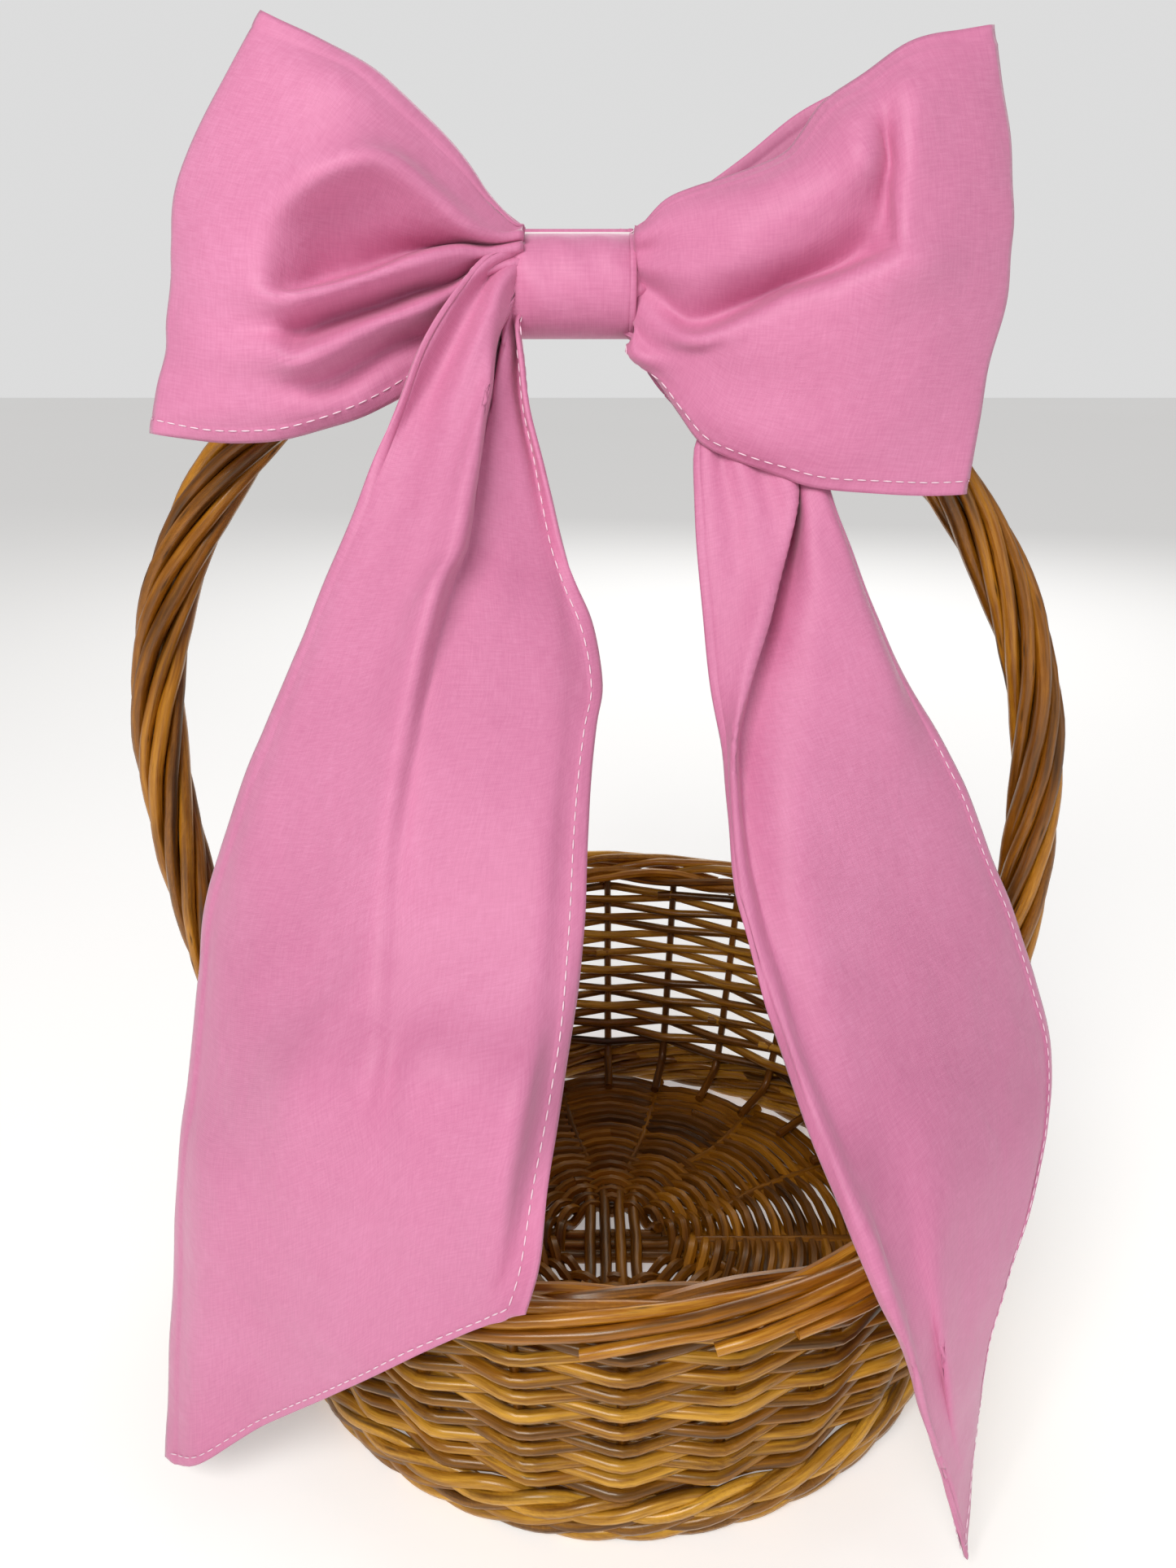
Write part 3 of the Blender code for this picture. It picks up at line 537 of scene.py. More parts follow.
# %% Wall rods
PITCH = 0.00435
ROUNDS = 8.5
HALF_STAKE = 0.0018
HALF_LEG = 0.0034
HALF_WEAVER = 0.00160
weave_lines, weave_girths = [], []
for strand in (0, 1):
    chance = random.Random(20 + strand)
    crossings = []
    for k in range(-14 if strand else 0, round(ROUNDS * PLACES) + (1 if strand else 15)):
        z = 0.01985 + strand * PITCH + 2 * PITCH * k / PLACES
        held = HALF_LEG if k % (PLACES // 2) == 0 else HALF_STAKE
        side = 1 if (k + strand) % 2 == 0 else -1
        radius = wall_radius(z) + side * (held + HALF_WEAVER)
        radius += side * chance.uniform(-0.0002, 0.0004)
        z += chance.uniform(-0.0003, 0.0003)
        crossings.append(np.array(polar(radius, 2 * math.pi * k / PLACES, z)))
    start = 0
    while start < len(crossings) - 1:
        stop = start + chance.choice((9, 11, 13, 15, 17, 19))
        stop += (stop + strand + 1) % 2
        if stop > len(crossings) - 6:
            stop = len(crossings) - 1
        line = [crossings[start]]
        for k in range(start, stop):
            a, b = crossings[k], crossings[k + 1]
            line += [a + (b - a) * 0.13, a + (b - a) * 0.5, a + (b - a) * 0.87]
            if k + 1 < stop:
                around = (crossings[k] + crossings[k + 2]) / 2
                line.append(b + (around - b) * 0.07)
        line.append(crossings[stop])
        if stop < len(crossings) - 1:
            onward = crossings[stop + 1] - crossings[stop]
            inward = -crossings[stop] * np.array((1, 1, 0)) / np.linalg.norm(crossings[stop][:2])
            line.append(crossings[stop] + onward * 0.2 + inward * 0.0022)
        weave_lines.append(np.array(line))
        thick = chance.uniform(0.00206, 0.00230)
        weave_girths.append(np.linspace(thick, thick * chance.uniform(0.74, 0.88), len(line)))
        start = stop
rods("wall_weave", weave_lines, weave_girths, wall_willow,
     ["weaver_a_lower", "weaver_a_upper", "weaver_b_lower", "weaver_b_upper"], wander=0.00022)

# %% [markdown]
# ## The border
#
# At the top every stake is bent down sideways and laid over its neighbours, so four or five rods lie side
# by side all round the rim, each climbing out of the wall and ending in a cut tip below the edge. One path,
# turned from place to place, makes them all. Three thin rods twisted together lie inside the stakes.

# %% Border rods: places along the rim, distance from the middle, height
BORDER_PATH = [
    (-0.15, 0.1410, 0.0995), (0.05, 0.1413, 0.1045), (0.45, 0.1412, 0.1082), (1.0, 0.1425, 0.1104),
    (2.0, 0.1459, 0.1108), (3.0, 0.1484, 0.1078), (3.9, 0.1492, 0.1038), (4.45, 0.1488, 0.1008)]
border_lines, border_girths = [], []
chance = random.Random(8)
for k in range(PLACES):
    last = chance.uniform(-0.25, 0.25)
    path = []
    for bays, radius, z in BORDER_PATH:
        bays += last if bays > 4 else 0
        angle = 2 * math.pi * (k - bays) / PLACES
        radius += chance.uniform(-0.0004, 0.0004)
        path.append(polar(radius, angle, z + chance.uniform(-0.0006, 0.0006)))
    line = smooth_line(path, 7)
    border_lines.append(line)
    thick = chance.uniform(0.00198, 0.00230)
    border_girths.append(np.linspace(thick, thick * 0.86, len(line)))
# The border rods wear the willow whose lighter tones are a painted highlight on the rim.
rods("border_rods", border_lines, border_girths, rim_willow_painted_light, ["border_front", "border_back"],
     wander=0.0003)

# %% The inner rods of the border
inner_lines = []
for k in range(3):
    line = []
    for i in range(241):
        angle = 2 * math.pi * i / 240
        phase = 10 * angle + 2 * math.pi * k / 3
        line.append(polar(0.1350 + 0.0020 * math.cos(phase), angle + k, 0.1050 + 0.0023 * math.sin(phase)))
    inner_lines.append(np.array(line))
# The inner rods wear the same willow, with its painted highlight.
rods("border_inner_rods", inner_lines, [0.0020, 0.0022, 0.0019], rim_willow_painted_light, ["border_liner"], sides=7)

# %% [markdown]
# ## The handle
#
# A strong core rod runs over the basket, and its two legs go down into the wall in the place of stakes.
# Eight thinner rods are laid round it in a long twist of three and a half turns. They differ in thickness,
# so the handle looks like a rope laid by hand.


# %% The handle's middle line
HANDLE_HALF_WIDTH = 0.150
HANDLE_WIDEST_AT = 0.204
HANDLE_RISE = 0.156
HANDLE_LEAN = 0.060
RIM_HEIGHT = 0.112
ARCH_SHARE = 0.72
HANDLE_TURNS = 3.5
HANDLE_RING = 0.0065
TWIST_END = 0.988


def arch_point(t):
    """Middle line of the handle: t runs from -1 at the left rim over 0 at the top to 1 at the right rim."""
    side = -1 if t < 0 else 1
    s = abs(t)
    if s <= ARCH_SHARE:
        x = HANDLE_HALF_WIDTH * math.sin(s / ARCH_SHARE * math.pi / 2)
        z = HANDLE_WIDEST_AT + HANDLE_RISE * math.cos(s / ARCH_SHARE * math.pi / 2)
    else:
        u = (s - ARCH_SHARE) / (1 - ARCH_SHARE)
        x = HANDLE_HALF_WIDTH - (HANDLE_HALF_WIDTH - WALL_TOP_RADIUS) * u**1.87
        z = HANDLE_WIDEST_AT - (HANDLE_WIDEST_AT - RIM_HEIGHT) * u
    return np.array((side * x - HANDLE_LEAN * (z - RIM_HEIGHT), 0.0, z))


def handle_twist(start, steps=150):
    """One rod laid round the handle's middle line, whose two ends run on straight into the wall."""
    line = []
    for i in range(steps + 1):
        t = -TWIST_END + 2 * TWIST_END * i / steps
        ahead = arch_point(min(t + 0.005, 1.0)) - arch_point(max(t - 0.005, -1.0))
        ahead = ahead / np.linalg.norm(ahead)
        sideways = np.array((0.0, 1.0, 0.0))
        outward = np.cross(sideways, ahead)
        turn = 2 * math.pi * (start + HANDLE_TURNS * (t + TWIST_END) / (2 * TWIST_END))
        line.append(arch_point(t) + (outward * math.cos(turn) + sideways * math.sin(turn)) * HANDLE_RING)
    feet = [end + (end - near) / np.linalg.norm(end - near) * 0.009
            for end, near in ((line[0], line[1]), (line[-1], line[-2]))]
    return np.array([feet[0]] + line + [feet[1]])


print("top of the handle's middle line:", arch_point(0.0).round(4))

# %% Handle rods
twist_lines, twist_girths = [], []
chance = random.Random(12)
for k in range(8):
    line = handle_twist(k / 8 + chance.uniform(-0.008, 0.008))
    twist_lines.append(line)
    thick = chance.uniform(0.0021, 0.0026)
    swell = np.array([math.sin(3.1 * k + 7 * i / len(line)) for i in range(len(line))])
    twist_girths.append(thick * (1 + 0.10 * swell))
rods("handle_twist", twist_lines, twist_girths, handle_willow,
     [f"handle_strand_{k}" for k in range(1, 9)], sides=9, wander=0.00028)

core = [arch_point(-1 + 2 * i / 60) for i in range(61)]
legs = [np.array((wall_radius(z), 0.0, z)) for z in np.linspace(0.0190, WALL_TOP, 10)]
core_line = np.array([leg * (-1, 1, 1) for leg in legs] + core + legs[::-1])
rods("handle_core_rod", [core_line], [0.0034], stake_willow, ["handle_core"], wander=0.0001)

# %% [markdown]
# ## Cotton: weave, mottling and sheen
#
# The bow is plain-woven cotton with a faint lustre. Close up the weave is a fine grid of threads with
# slubs, and further off the colour is slightly uneven. Every cloth piece has a UV map in metres, so the
# grid keeps its real size on each of them and follows the folds.

# %% The cotton weave group: threads and slubs
tree, given, result = new_group(
    "cotton weave", "ShaderNodeTree",
    [("Deep", "Color", None), ("Middle", "Color", None), ("Pale", "Color", None),
     ("Threads", "Float", 0.00045), ("Slubs", "Float", 0.5)],
    [("Color", "Color"), ("Roughness", "Float"), ("Height", "Float"), ("Crumple", "Float")])
cotton_weave = tree
cloth_map = add_node(tree, "ShaderNodeUVMap", {"uv_map": "cloth"}).outputs["UV"]
place = add_node(tree, "ShaderNodeTexCoord").outputs["Object"]
spread = add_node(tree, "ShaderNodeSeparateXYZ", Vector=cloth_map)
turns = maths(tree, "DIVIDE", math.pi, given["Threads"])
warp = maths(tree, "ABSOLUTE", maths(tree, "SINE", maths(tree, "MULTIPLY", spread.outputs["X"], turns)))
weft = maths(tree, "ABSOLUTE", maths(tree, "SINE", maths(tree, "MULTIPLY", spread.outputs["Y"], turns)))
threads = maths(tree, "MAXIMUM", warp, weft)


def slub_noise(along_x, along_y):
    """Noise stretched along one direction of the cloth, as a thicker stretch of a thread is."""
    stretched = add_node(tree, "ShaderNodeVectorMath", {"operation": "MULTIPLY"}, i0=cloth_map,
                         i1=(along_x, along_y, 1.0))
    slub = add_node(tree, "ShaderNodeTexNoise", Vector=stretched.outputs[0], Scale=1.0, Detail=3.0)
    return slub.outputs["Fac"]


slubs = maths(tree, "ADD", slub_noise(1500, 160), slub_noise(160, 1500))
print("thread width and slubs follow the UV map in metres")

# %% The cotton weave group: tone, roughness and relief
mottle = add_node(tree, "ShaderNodeTexNoise", Vector=place, Scale=34.0, Detail=5.0, Roughness=0.6)
broad = add_node(tree, "ShaderNodeTexNoise", Vector=place, Scale=11.0, Detail=3.0)
tone = maths(tree, "MULTIPLY", maths(tree, "SUBTRACT", slubs, 1.0), given["Slubs"])
for source, weight in ((mottle, 0.6), (broad, 0.8)):
    uneven = maths(tree, "SUBTRACT", source.outputs["Fac"], 0.5)
    tone = maths(tree, "ADD", tone, maths(tree, "MULTIPLY", uneven, weight))
tone = maths(tree, "ADD", tone, 0.5, clamp=True)
low_half = maths(tree, "MULTIPLY", tone, 2.0, clamp=True)
high_half = maths(tree, "SUBTRACT", maths(tree, "MULTIPLY", tone, 2.0), 1.0, clamp=True)
lower = blended(tree, low_half, given["Deep"], given["Middle"])
tree.links.new(blended(tree, high_half, lower, given["Pale"]), result["Color"])
tree.links.new(maths(tree, "ADD", maths(tree, "MULTIPLY", slubs, 0.12), 0.42), result["Roughness"])
height = maths(tree, "ADD", maths(tree, "MULTIPLY", threads, 0.6), maths(tree, "MULTIPLY", slubs, 0.4))
tree.links.new(height, result["Height"])
crumple = add_node(tree, "ShaderNodeTexNoise", Vector=place, Scale=58.0, Detail=3.0, Distortion=0.8)
tree.links.new(crumple.outputs["Fac"], result["Crumple"])
print("cotton weave:", len(cotton_weave.nodes), "nodes")


# %% Cotton, tape and thread
def cotton(name, deep, middle, pale, threads=0.00045, slubs=0.5, crumple=0.0012, sheen=0.25):
    """A woven cotton in three close tones, with its thread width and how much it is crumpled, in metres."""
    material, tree, shader = new_material(name, Sheen_Weight=sheen, Sheen_Roughness=0.35,
                                          Specular_IOR_Level=0.38)
    weave = add_node(tree, "ShaderNodeGroup", {"node_tree": cotton_weave}, Deep=srgb(*deep),
                     Middle=srgb(*middle), Pale=srgb(*pale), Threads=threads, Slubs=slubs)
    soft = add_node(tree, "ShaderNodeBump", Strength=0.5, Distance=crumple, Height=weave.outputs["Crumple"])
    fine = add_node(tree, "ShaderNodeBump", Strength=0.30, Distance=0.0002, Height=weave.outputs["Height"],
                    Normal=soft.outputs["Normal"])
    tree.links.new(weave.outputs["Color"], shader.inputs["Base Color"])
    tree.links.new(weave.outputs["Roughness"], shader.inputs["Roughness"])
    tree.links.new(fine.outputs["Normal"], shader.inputs["Normal"])
    return material


pink_cotton = cotton("pink cotton", (196, 111, 150), (205, 123, 160), (214, 135, 172), slubs=0.9)
tape_weave = cotton("white tape", (214, 212, 210), (232, 230, 228), (246, 245, 244), threads=0.0011,
                    slubs=0.3, crumple=0.0004, sheen=0.6)
stitch_thread = cotton("white thread", (222, 190, 206), (236, 208, 221), (244, 222, 232), threads=0.0003,
                       slubs=0.4, crumple=0.0001)
print("cotton materials:", pink_cotton.name, "/", tape_weave.name, "/", stitch_thread.name)

# %% [markdown]
# ## Lofting cloth through rails
#
# A fold in cloth is a line that runs a long way, so cloth is described by rails: lines that lie on the
# cloth and follow its folds. A smooth surface through the rails gives the sheet. Close rows of points near
# the edges carry the hem, where the cloth is turned in and stitched, and Solidify gives it a thickness.

# %% From rails to a grid of points
HEM = (0.0, 0.010, 0.024, 0.034, 0.040, 0.047, 0.060, 0.080)
HEM_LIFT = (0.0, 0.45, 0.5, 0.25, -0.25, 0.0, 0.05, 0.0)
STITCHED_AT = 0.034


def shares_with_hems(count):
    """Shares from 0 to 1 that are close together at both hems."""
    inside = np.linspace(HEM[-1], 1 - HEM[-1], count)[1:-1]
    return np.concatenate([HEM, inside, 1 - np.array(HEM)[::-1]])


def nearest(shares, share):
    """The number of the row that lies closest to a share."""
    return int(np.argmin(np.abs(shares - share)))


def lofted(lines, across):
    """A grid of points through lines that all have the same number of points: grid[across, along]."""
    stack = np.asarray(lines)
    return np.stack([evenly(smooth_line(stack[:, j], 8), across) for j in range(stack.shape[1])], axis=1)


def grid_normals(grid):
    """The direction that each point of a grid faces."""
    along = np.gradient(grid, axis=1)
    across = np.gradient(grid, axis=0)
    facing = np.cross(along, across)
    return facing / np.maximum(np.linalg.norm(facing, axis=2, keepdims=True), 1e-12)


print("a sheet with 20 rows inside its hems has", len(shares_with_hems(20)), "rows")


# %% Folds, crumples and hems
def sharpened(grid, amount, reach=6):
    """Deepens the folds: each point moves away from the mean depth of its neighbours across the cloth."""
    depth = grid[:, :, 1]
    calm = depth.copy()
    for _ in range(2):
        padded = np.pad(calm, ((reach, reach), (0, 0)), mode="edge")
        calm = np.mean([padded[k:k + len(depth)] for k in range(2 * reach + 1)], axis=0)
    moved = grid.copy()
    moved[:, :, 1] += (depth - calm) * amount
    return moved


def crumpled(grid, size, depth, seed):
    """Moves the points in and out a little, as cloth that has been worn and folded."""
    facing = grid_normals(grid)
    moved = grid.copy()
    for i in range(grid.shape[0]):
        for j in range(grid.shape[1]):
            wave = noise.noise(Vector(grid[i, j] / size) + Vector((seed, 0, 0)))
            moved[i, j] += facing[i, j] * wave * depth
    return moved


def raised_hems(grid, across, lift=0.0004):
    """Gives both long edges the slight step of a turned-in hem with a stitched groove."""
    edge = np.minimum(across, 1 - across)
    height = np.interp(edge, HEM, HEM_LIFT) * lift
    return grid + grid_normals(grid) * height[:, None, None]


# %% A cloth object
def cloth_piece(name, grid, look, thickness=0.0013, flip=False):
    """A cloth object from a grid of points, with a UV map in metres and real thickness."""
    rows, columns = grid.shape[:2]
    wide = np.linalg.norm(np.diff(grid, axis=0), axis=2).sum(axis=0).max()
    long = np.linalg.norm(np.diff(grid, axis=1), axis=2).sum(axis=1).mean()
    faces = []
    for i in range(rows - 1):
        for j in range(columns - 1):
            a = i * columns + j
            face = (a, a + 1, a + columns + 1, a + columns)
            faces.append(face[::-1] if flip else face)
    mesh = bpy.data.meshes.new(name)
    mesh.from_pydata(grid.reshape(-1, 3).tolist(), [], faces)
    layer = mesh.uv_layers.new(name="cloth")
    for loop in mesh.loops:
        i, j = divmod(loop.vertex_index, columns)
        layer.data[loop.index].uv = (i / (rows - 1) * wide, j / (columns - 1) * long)
    mesh.materials.append(look)
    mesh.shade_smooth()
    piece = bpy.data.objects.new(name, mesh)
    scene.collection.objects.link(piece)
    solid = piece.modifiers.new("cloth thickness", "SOLIDIFY")
    solid.thickness = thickness
    solid.offset = 0.0
    area = sum(p.area for p in mesh.polygons)
    print(f"{name}: {rows} x {columns} points, {area * 1e4:.0f} square cm of cloth")
    return piece, area


# %% The tree that sews stitches
stitch_tree, given, result = new_group(
    "Stitches along a line", "GeometryNodeTree",
    [("Geometry", "Geometry", None), ("Pitch", "Float", 0.0038), ("Length", "Float", 0.0028),
     ("Thickness", "Float", 0.0005), ("Material", "Material", None)],
    [("Geometry", "Geometry")])
seam = add_node(stitch_tree, "GeometryNodeMeshToCurve", Mesh=given["Geometry"])
dots = add_node(stitch_tree, "GeometryNodeCurveToPoints", {"mode": "LENGTH"}, Curve=seam.outputs[0],
                Length=given["Pitch"])
turned = add_node(stitch_tree, "FunctionNodeAlignRotationToVector", {"axis": "Z"},
                  Vector=dots.outputs["Tangent"])
bead = add_node(stitch_tree, "GeometryNodeMeshUVSphere", Segments=6, Rings=4, Radius=0.5)
bead_size = add_node(stitch_tree, "ShaderNodeCombineXYZ", X=given["Thickness"], Y=given["Thickness"],
                     Z=given["Length"])
sewn = add_node(stitch_tree, "GeometryNodeInstanceOnPoints", Points=dots.outputs["Points"],
                Instance=bead.outputs["Mesh"], Rotation=turned.outputs[0], Scale=bead_size.outputs[0])
real = add_node(stitch_tree, "GeometryNodeRealizeInstances", Geometry=sewn.outputs[0])
smooth = add_node(stitch_tree, "GeometryNodeSetShadeSmooth", Geometry=real.outputs[0], Shade_Smooth=True)
painted = add_node(stitch_tree, "GeometryNodeSetMaterial", Geometry=smooth.outputs[0],
                   Material=given["Material"])
stitch_tree.links.new(painted.outputs[0], result[0])
print("the tree that sews stitches has", len(stitch_tree.nodes), "nodes")


# %% Sewing a seam
def stitches(name, lines):
    """White stitches along seams, as one mesh."""
    return grown(name, lines_mesh(name, lines), stitch_tree, crease=0,
                 Pitch=0.0038, Length=0.0029, Thickness=0.00040, Material=stitch_thread)


def seam_line(grid, across, share, side, first=0):
    """A line just above the cloth along one row of it, on the chosen side."""
    row = nearest(across, share)
    return (grid[row] + grid_normals(grid)[row] * 0.0008 * side)[first:]


# %% [markdown]
# ## The loops of the bow
#
# Each loop is a band of cloth about a hand wide that leaves the knot, folds over softly at its far end and
# comes back behind. At the knot it is gathered, so puffs and sharp valleys run out from there. Rails from
# the knot to the far fold carry these; the layer behind follows the same outline with a smooth hollow.

# %% Rails of the loops, in millimetres, from the knot to the far fold
LEFT_LOOP = [
    [(-28, -22, 375), (-31, -24, 376), (-37, -27, 382), (-42, -30, 389), (-49, -34, 397),
     (-58, -38, 405), (-66, -39, 411), (-78, -38, 417), (-87, -36, 421), (-93, -33, 424)],
    [(-28, -24, 374), (-32, -27, 373), (-39, -32, 377), (-49, -38, 385), (-60, -44, 394),
     (-73, -46, 403), (-86, -43, 407), (-97, -38, 409), (-102, -33, 411)],
    [(-28, -26, 373), (-35, -30, 372), (-42, -36, 374), (-51, -42, 381), (-60, -48, 387),
     (-69, -52, 387), (-81, -53, 384), (-93, -49, 383), (-107, -42, 383), (-118, -33, 386)],
    [(-28, -25, 372), (-36, -28, 371), (-46, -32, 372), (-56, -36, 374), (-67, -40, 377),
     (-78, -43, 376), (-88, -49, 372), (-96, -50, 369), (-111, -43, 369), (-122, -33, 370)],
    [(-28, -24, 371), (-37, -27, 370), (-46, -29, 370), (-58, -32, 368), (-70, -35, 364),
     (-81, -39, 361), (-89, -46, 359), (-96, -50, 361), (-112, -43, 362), (-123, -33, 363)],
    [(-28, -27, 370), (-37, -31, 368), (-45, -36, 368), (-56, -42, 365), (-68, -46, 361),
     (-78, -49, 358), (-88, -51, 356), (-97, -50, 357), (-112, -43, 357), (-124, -33, 358)],
    [(-28, -25, 368), (-38, -28, 366), (-47, -31, 361), (-58, -34, 358), (-69, -38, 354),
     (-79, -41, 351), (-88, -44, 348), (-95, -48, 349), (-112, -43, 349), (-126, -33, 350)],
    [(-28, -27, 366), (-39, -31, 363), (-48, -36, 357), (-57, -41, 353), (-68, -45, 349),
     (-78, -49, 344), (-87, -51, 341), (-94, -50, 343), (-113, -43, 343), (-127, -33, 343)],
    [(-29, -25, 365), (-40, -28, 360), (-52, -32, 349), (-62, -36, 346), (-73, -40, 340),
     (-83, -44, 335), (-94, -47, 335), (-112, -43, 336), (-130, -33, 335)],
    [(-29, -25, 363), (-40, -28, 357), (-51, -33, 345), (-63, -38, 339), (-75, -43, 331),
     (-88, -46, 328), (-104, -44, 327), (-119, -40, 327), (-132, -33, 328)],
    [(-29, -25, 362), (-39, -28, 354), (-50, -32, 341), (-60, -36, 333), (-71, -40, 327),
     (-83, -42, 323), (-96, -42, 320), (-110, -40, 319), (-123, -37, 320), (-134, -33, 321)],
]
RIGHT_LOOP = [
    [(3, -24, 375), (5, -25, 375), (11, -28, 381), (18, -31, 384), (29, -34, 387), (41, -36, 391),
     (46, -36, 396), (51, -37, 403), (60, -39, 409), (71, -40, 416), (84, -37, 419), (93, -33, 421)],
    [(3, -26, 372), (7, -29, 373), (15, -34, 376), (26, -40, 379), (38, -43, 383), (48, -44, 389),
     (56, -47, 396), (63, -45, 401), (70, -48, 404), (84, -41, 408), (96, -33, 410)],
    [(3, -25, 369), (7, -28, 369), (17, -37, 369), (29, -44, 372), (41, -46, 376), (52, -48, 383),
     (59, -51, 388), (66, -46, 391), (70, -52, 391), (85, -44, 394), (100, -33, 398)],
    [(3, -25, 365), (8, -30, 364), (18, -38, 362), (30, -43, 364), (43, -44, 368), (54, -46, 374),
     (62, -47, 378), (67, -46, 380), (70, -53, 380), (86, -45, 383), (102, -33, 386)],
    [(3, -24, 360), (9, -27, 358), (19, -33, 351), (33, -36, 355), (43, -38, 359), (55, -41, 363),
     (63, -44, 367), (68, -50, 369), (71, -54, 371), (87, -45, 374), (104, -33, 376)],
    [(3, -25, 355), (9, -31, 350), (19, -40, 346), (32, -45, 351), (42, -48, 356), (53, -51, 359),
     (62, -53, 362), (68, -55, 363), (75, -54, 364), (87, -46, 365), (104, -33, 367)],
    [(3, -25, 350), (8, -30, 344), (19, -38, 343), (33, -46, 344), (45, -50, 346), (58, -52, 348),
     (70, -51, 350), (86, -45, 352), (104, -33, 353)],
    [(3, -26, 347), (4, -29, 342), (13, -33, 339), (23, -39, 335), (37, -45, 333), (51, -48, 332),
     (65, -48, 333), (83, -43, 334), (101, -33, 336)],
    [(3, -25, 346), (2, -27, 342), (10, -29, 336), (18, -35, 328), (30, -41, 322), (45, -45, 318),
     (61, -45, 317), (80, -41, 317), (100, -33, 318)],
    [(3, -24, 345), (1, -25, 343), (9, -27, 337), (16, -32, 327), (22, -35, 319), (30, -38, 315),
     (44, -41, 310), (54, -42, 307), (73, -41, 305), (87, -37, 304), (99, -33, 304)],
]
print("rails of the loops:", len(LEFT_LOOP), "and", len(RIGHT_LOOP))


# %% Both loops
FRONT_STEPS = 64
BACK_STEPS = 52


def loop_line(rail, lift_back, samples=12):
    """One rail of a loop: along the front, round the far fold and back behind."""
    front = np.asarray(rail, float)
    shares = np.array((0.94, 0.82, 0.66, 0.50, 0.34, 0.20, 0.10, 0.0))
    thirds = [front[0], front[len(front) // 3], front[2 * len(front) // 3], front[-1]]
    calm = smooth_line(thirds, samples)
    outline = evenly(smooth_line(front, samples), shares)
    behind = outline * 0.6 + evenly(calm, shares) * 0.4
    behind[:, 1] = -18.5 - 14.5 * np.sqrt(shares) + 14.0 * np.sin(math.pi * shares**0.8)
    behind[:, 2] += lift_back * np.exp(-((shares - 0.42) / 0.16) ** 2)
    whole = smooth_line(np.vstack([front, behind]), samples)
    turn = samples * (len(front) - 1)
    return np.vstack([evenly(whole[:turn + 1], np.linspace(0, 1, FRONT_STEPS)),
                      evenly(whole[turn:], np.linspace(0, 1, BACK_STEPS))[1:]]) * MM


def make_loop(name, rails, lift_back, node, seed):
    """A loop of the bow, sewn along the hems that show, and ridden on the bow."""
    across = shares_with_hems(58)
    lines = [loop_line(rail, lift_back * (1 - 4 * k / (len(rails) - 1)) if k < 3 else 0.0)
             for k, rail in enumerate(rails)]
    grid = sharpened(lofted(lines, across), 0.9)
    grid = raised_hems(crumpled(grid, 0.020, 0.0007, seed), across, 0.0004)
    flip = grid_normals(grid)[30, 30, 1] > 0
    piece, area = cloth_piece(name, grid, pink_cotton, flip=flip)
    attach(piece, "bow")
    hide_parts(node)
    outward = -1 if flip else 1
    seam = stitches(name + "_stitches", [seam_line(grid, across, 1 - STITCHED_AT, outward),
                                         seam_line(grid, across, STITCHED_AT, outward, first=66)])
    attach(seam, "bow")


make_loop("loop_left", LEFT_LOOP, 1.0, "bow_loop_left", 3.0)
make_loop("loop_right", RIGHT_LOOP, 6.0, "bow_loop_right", 8.0)
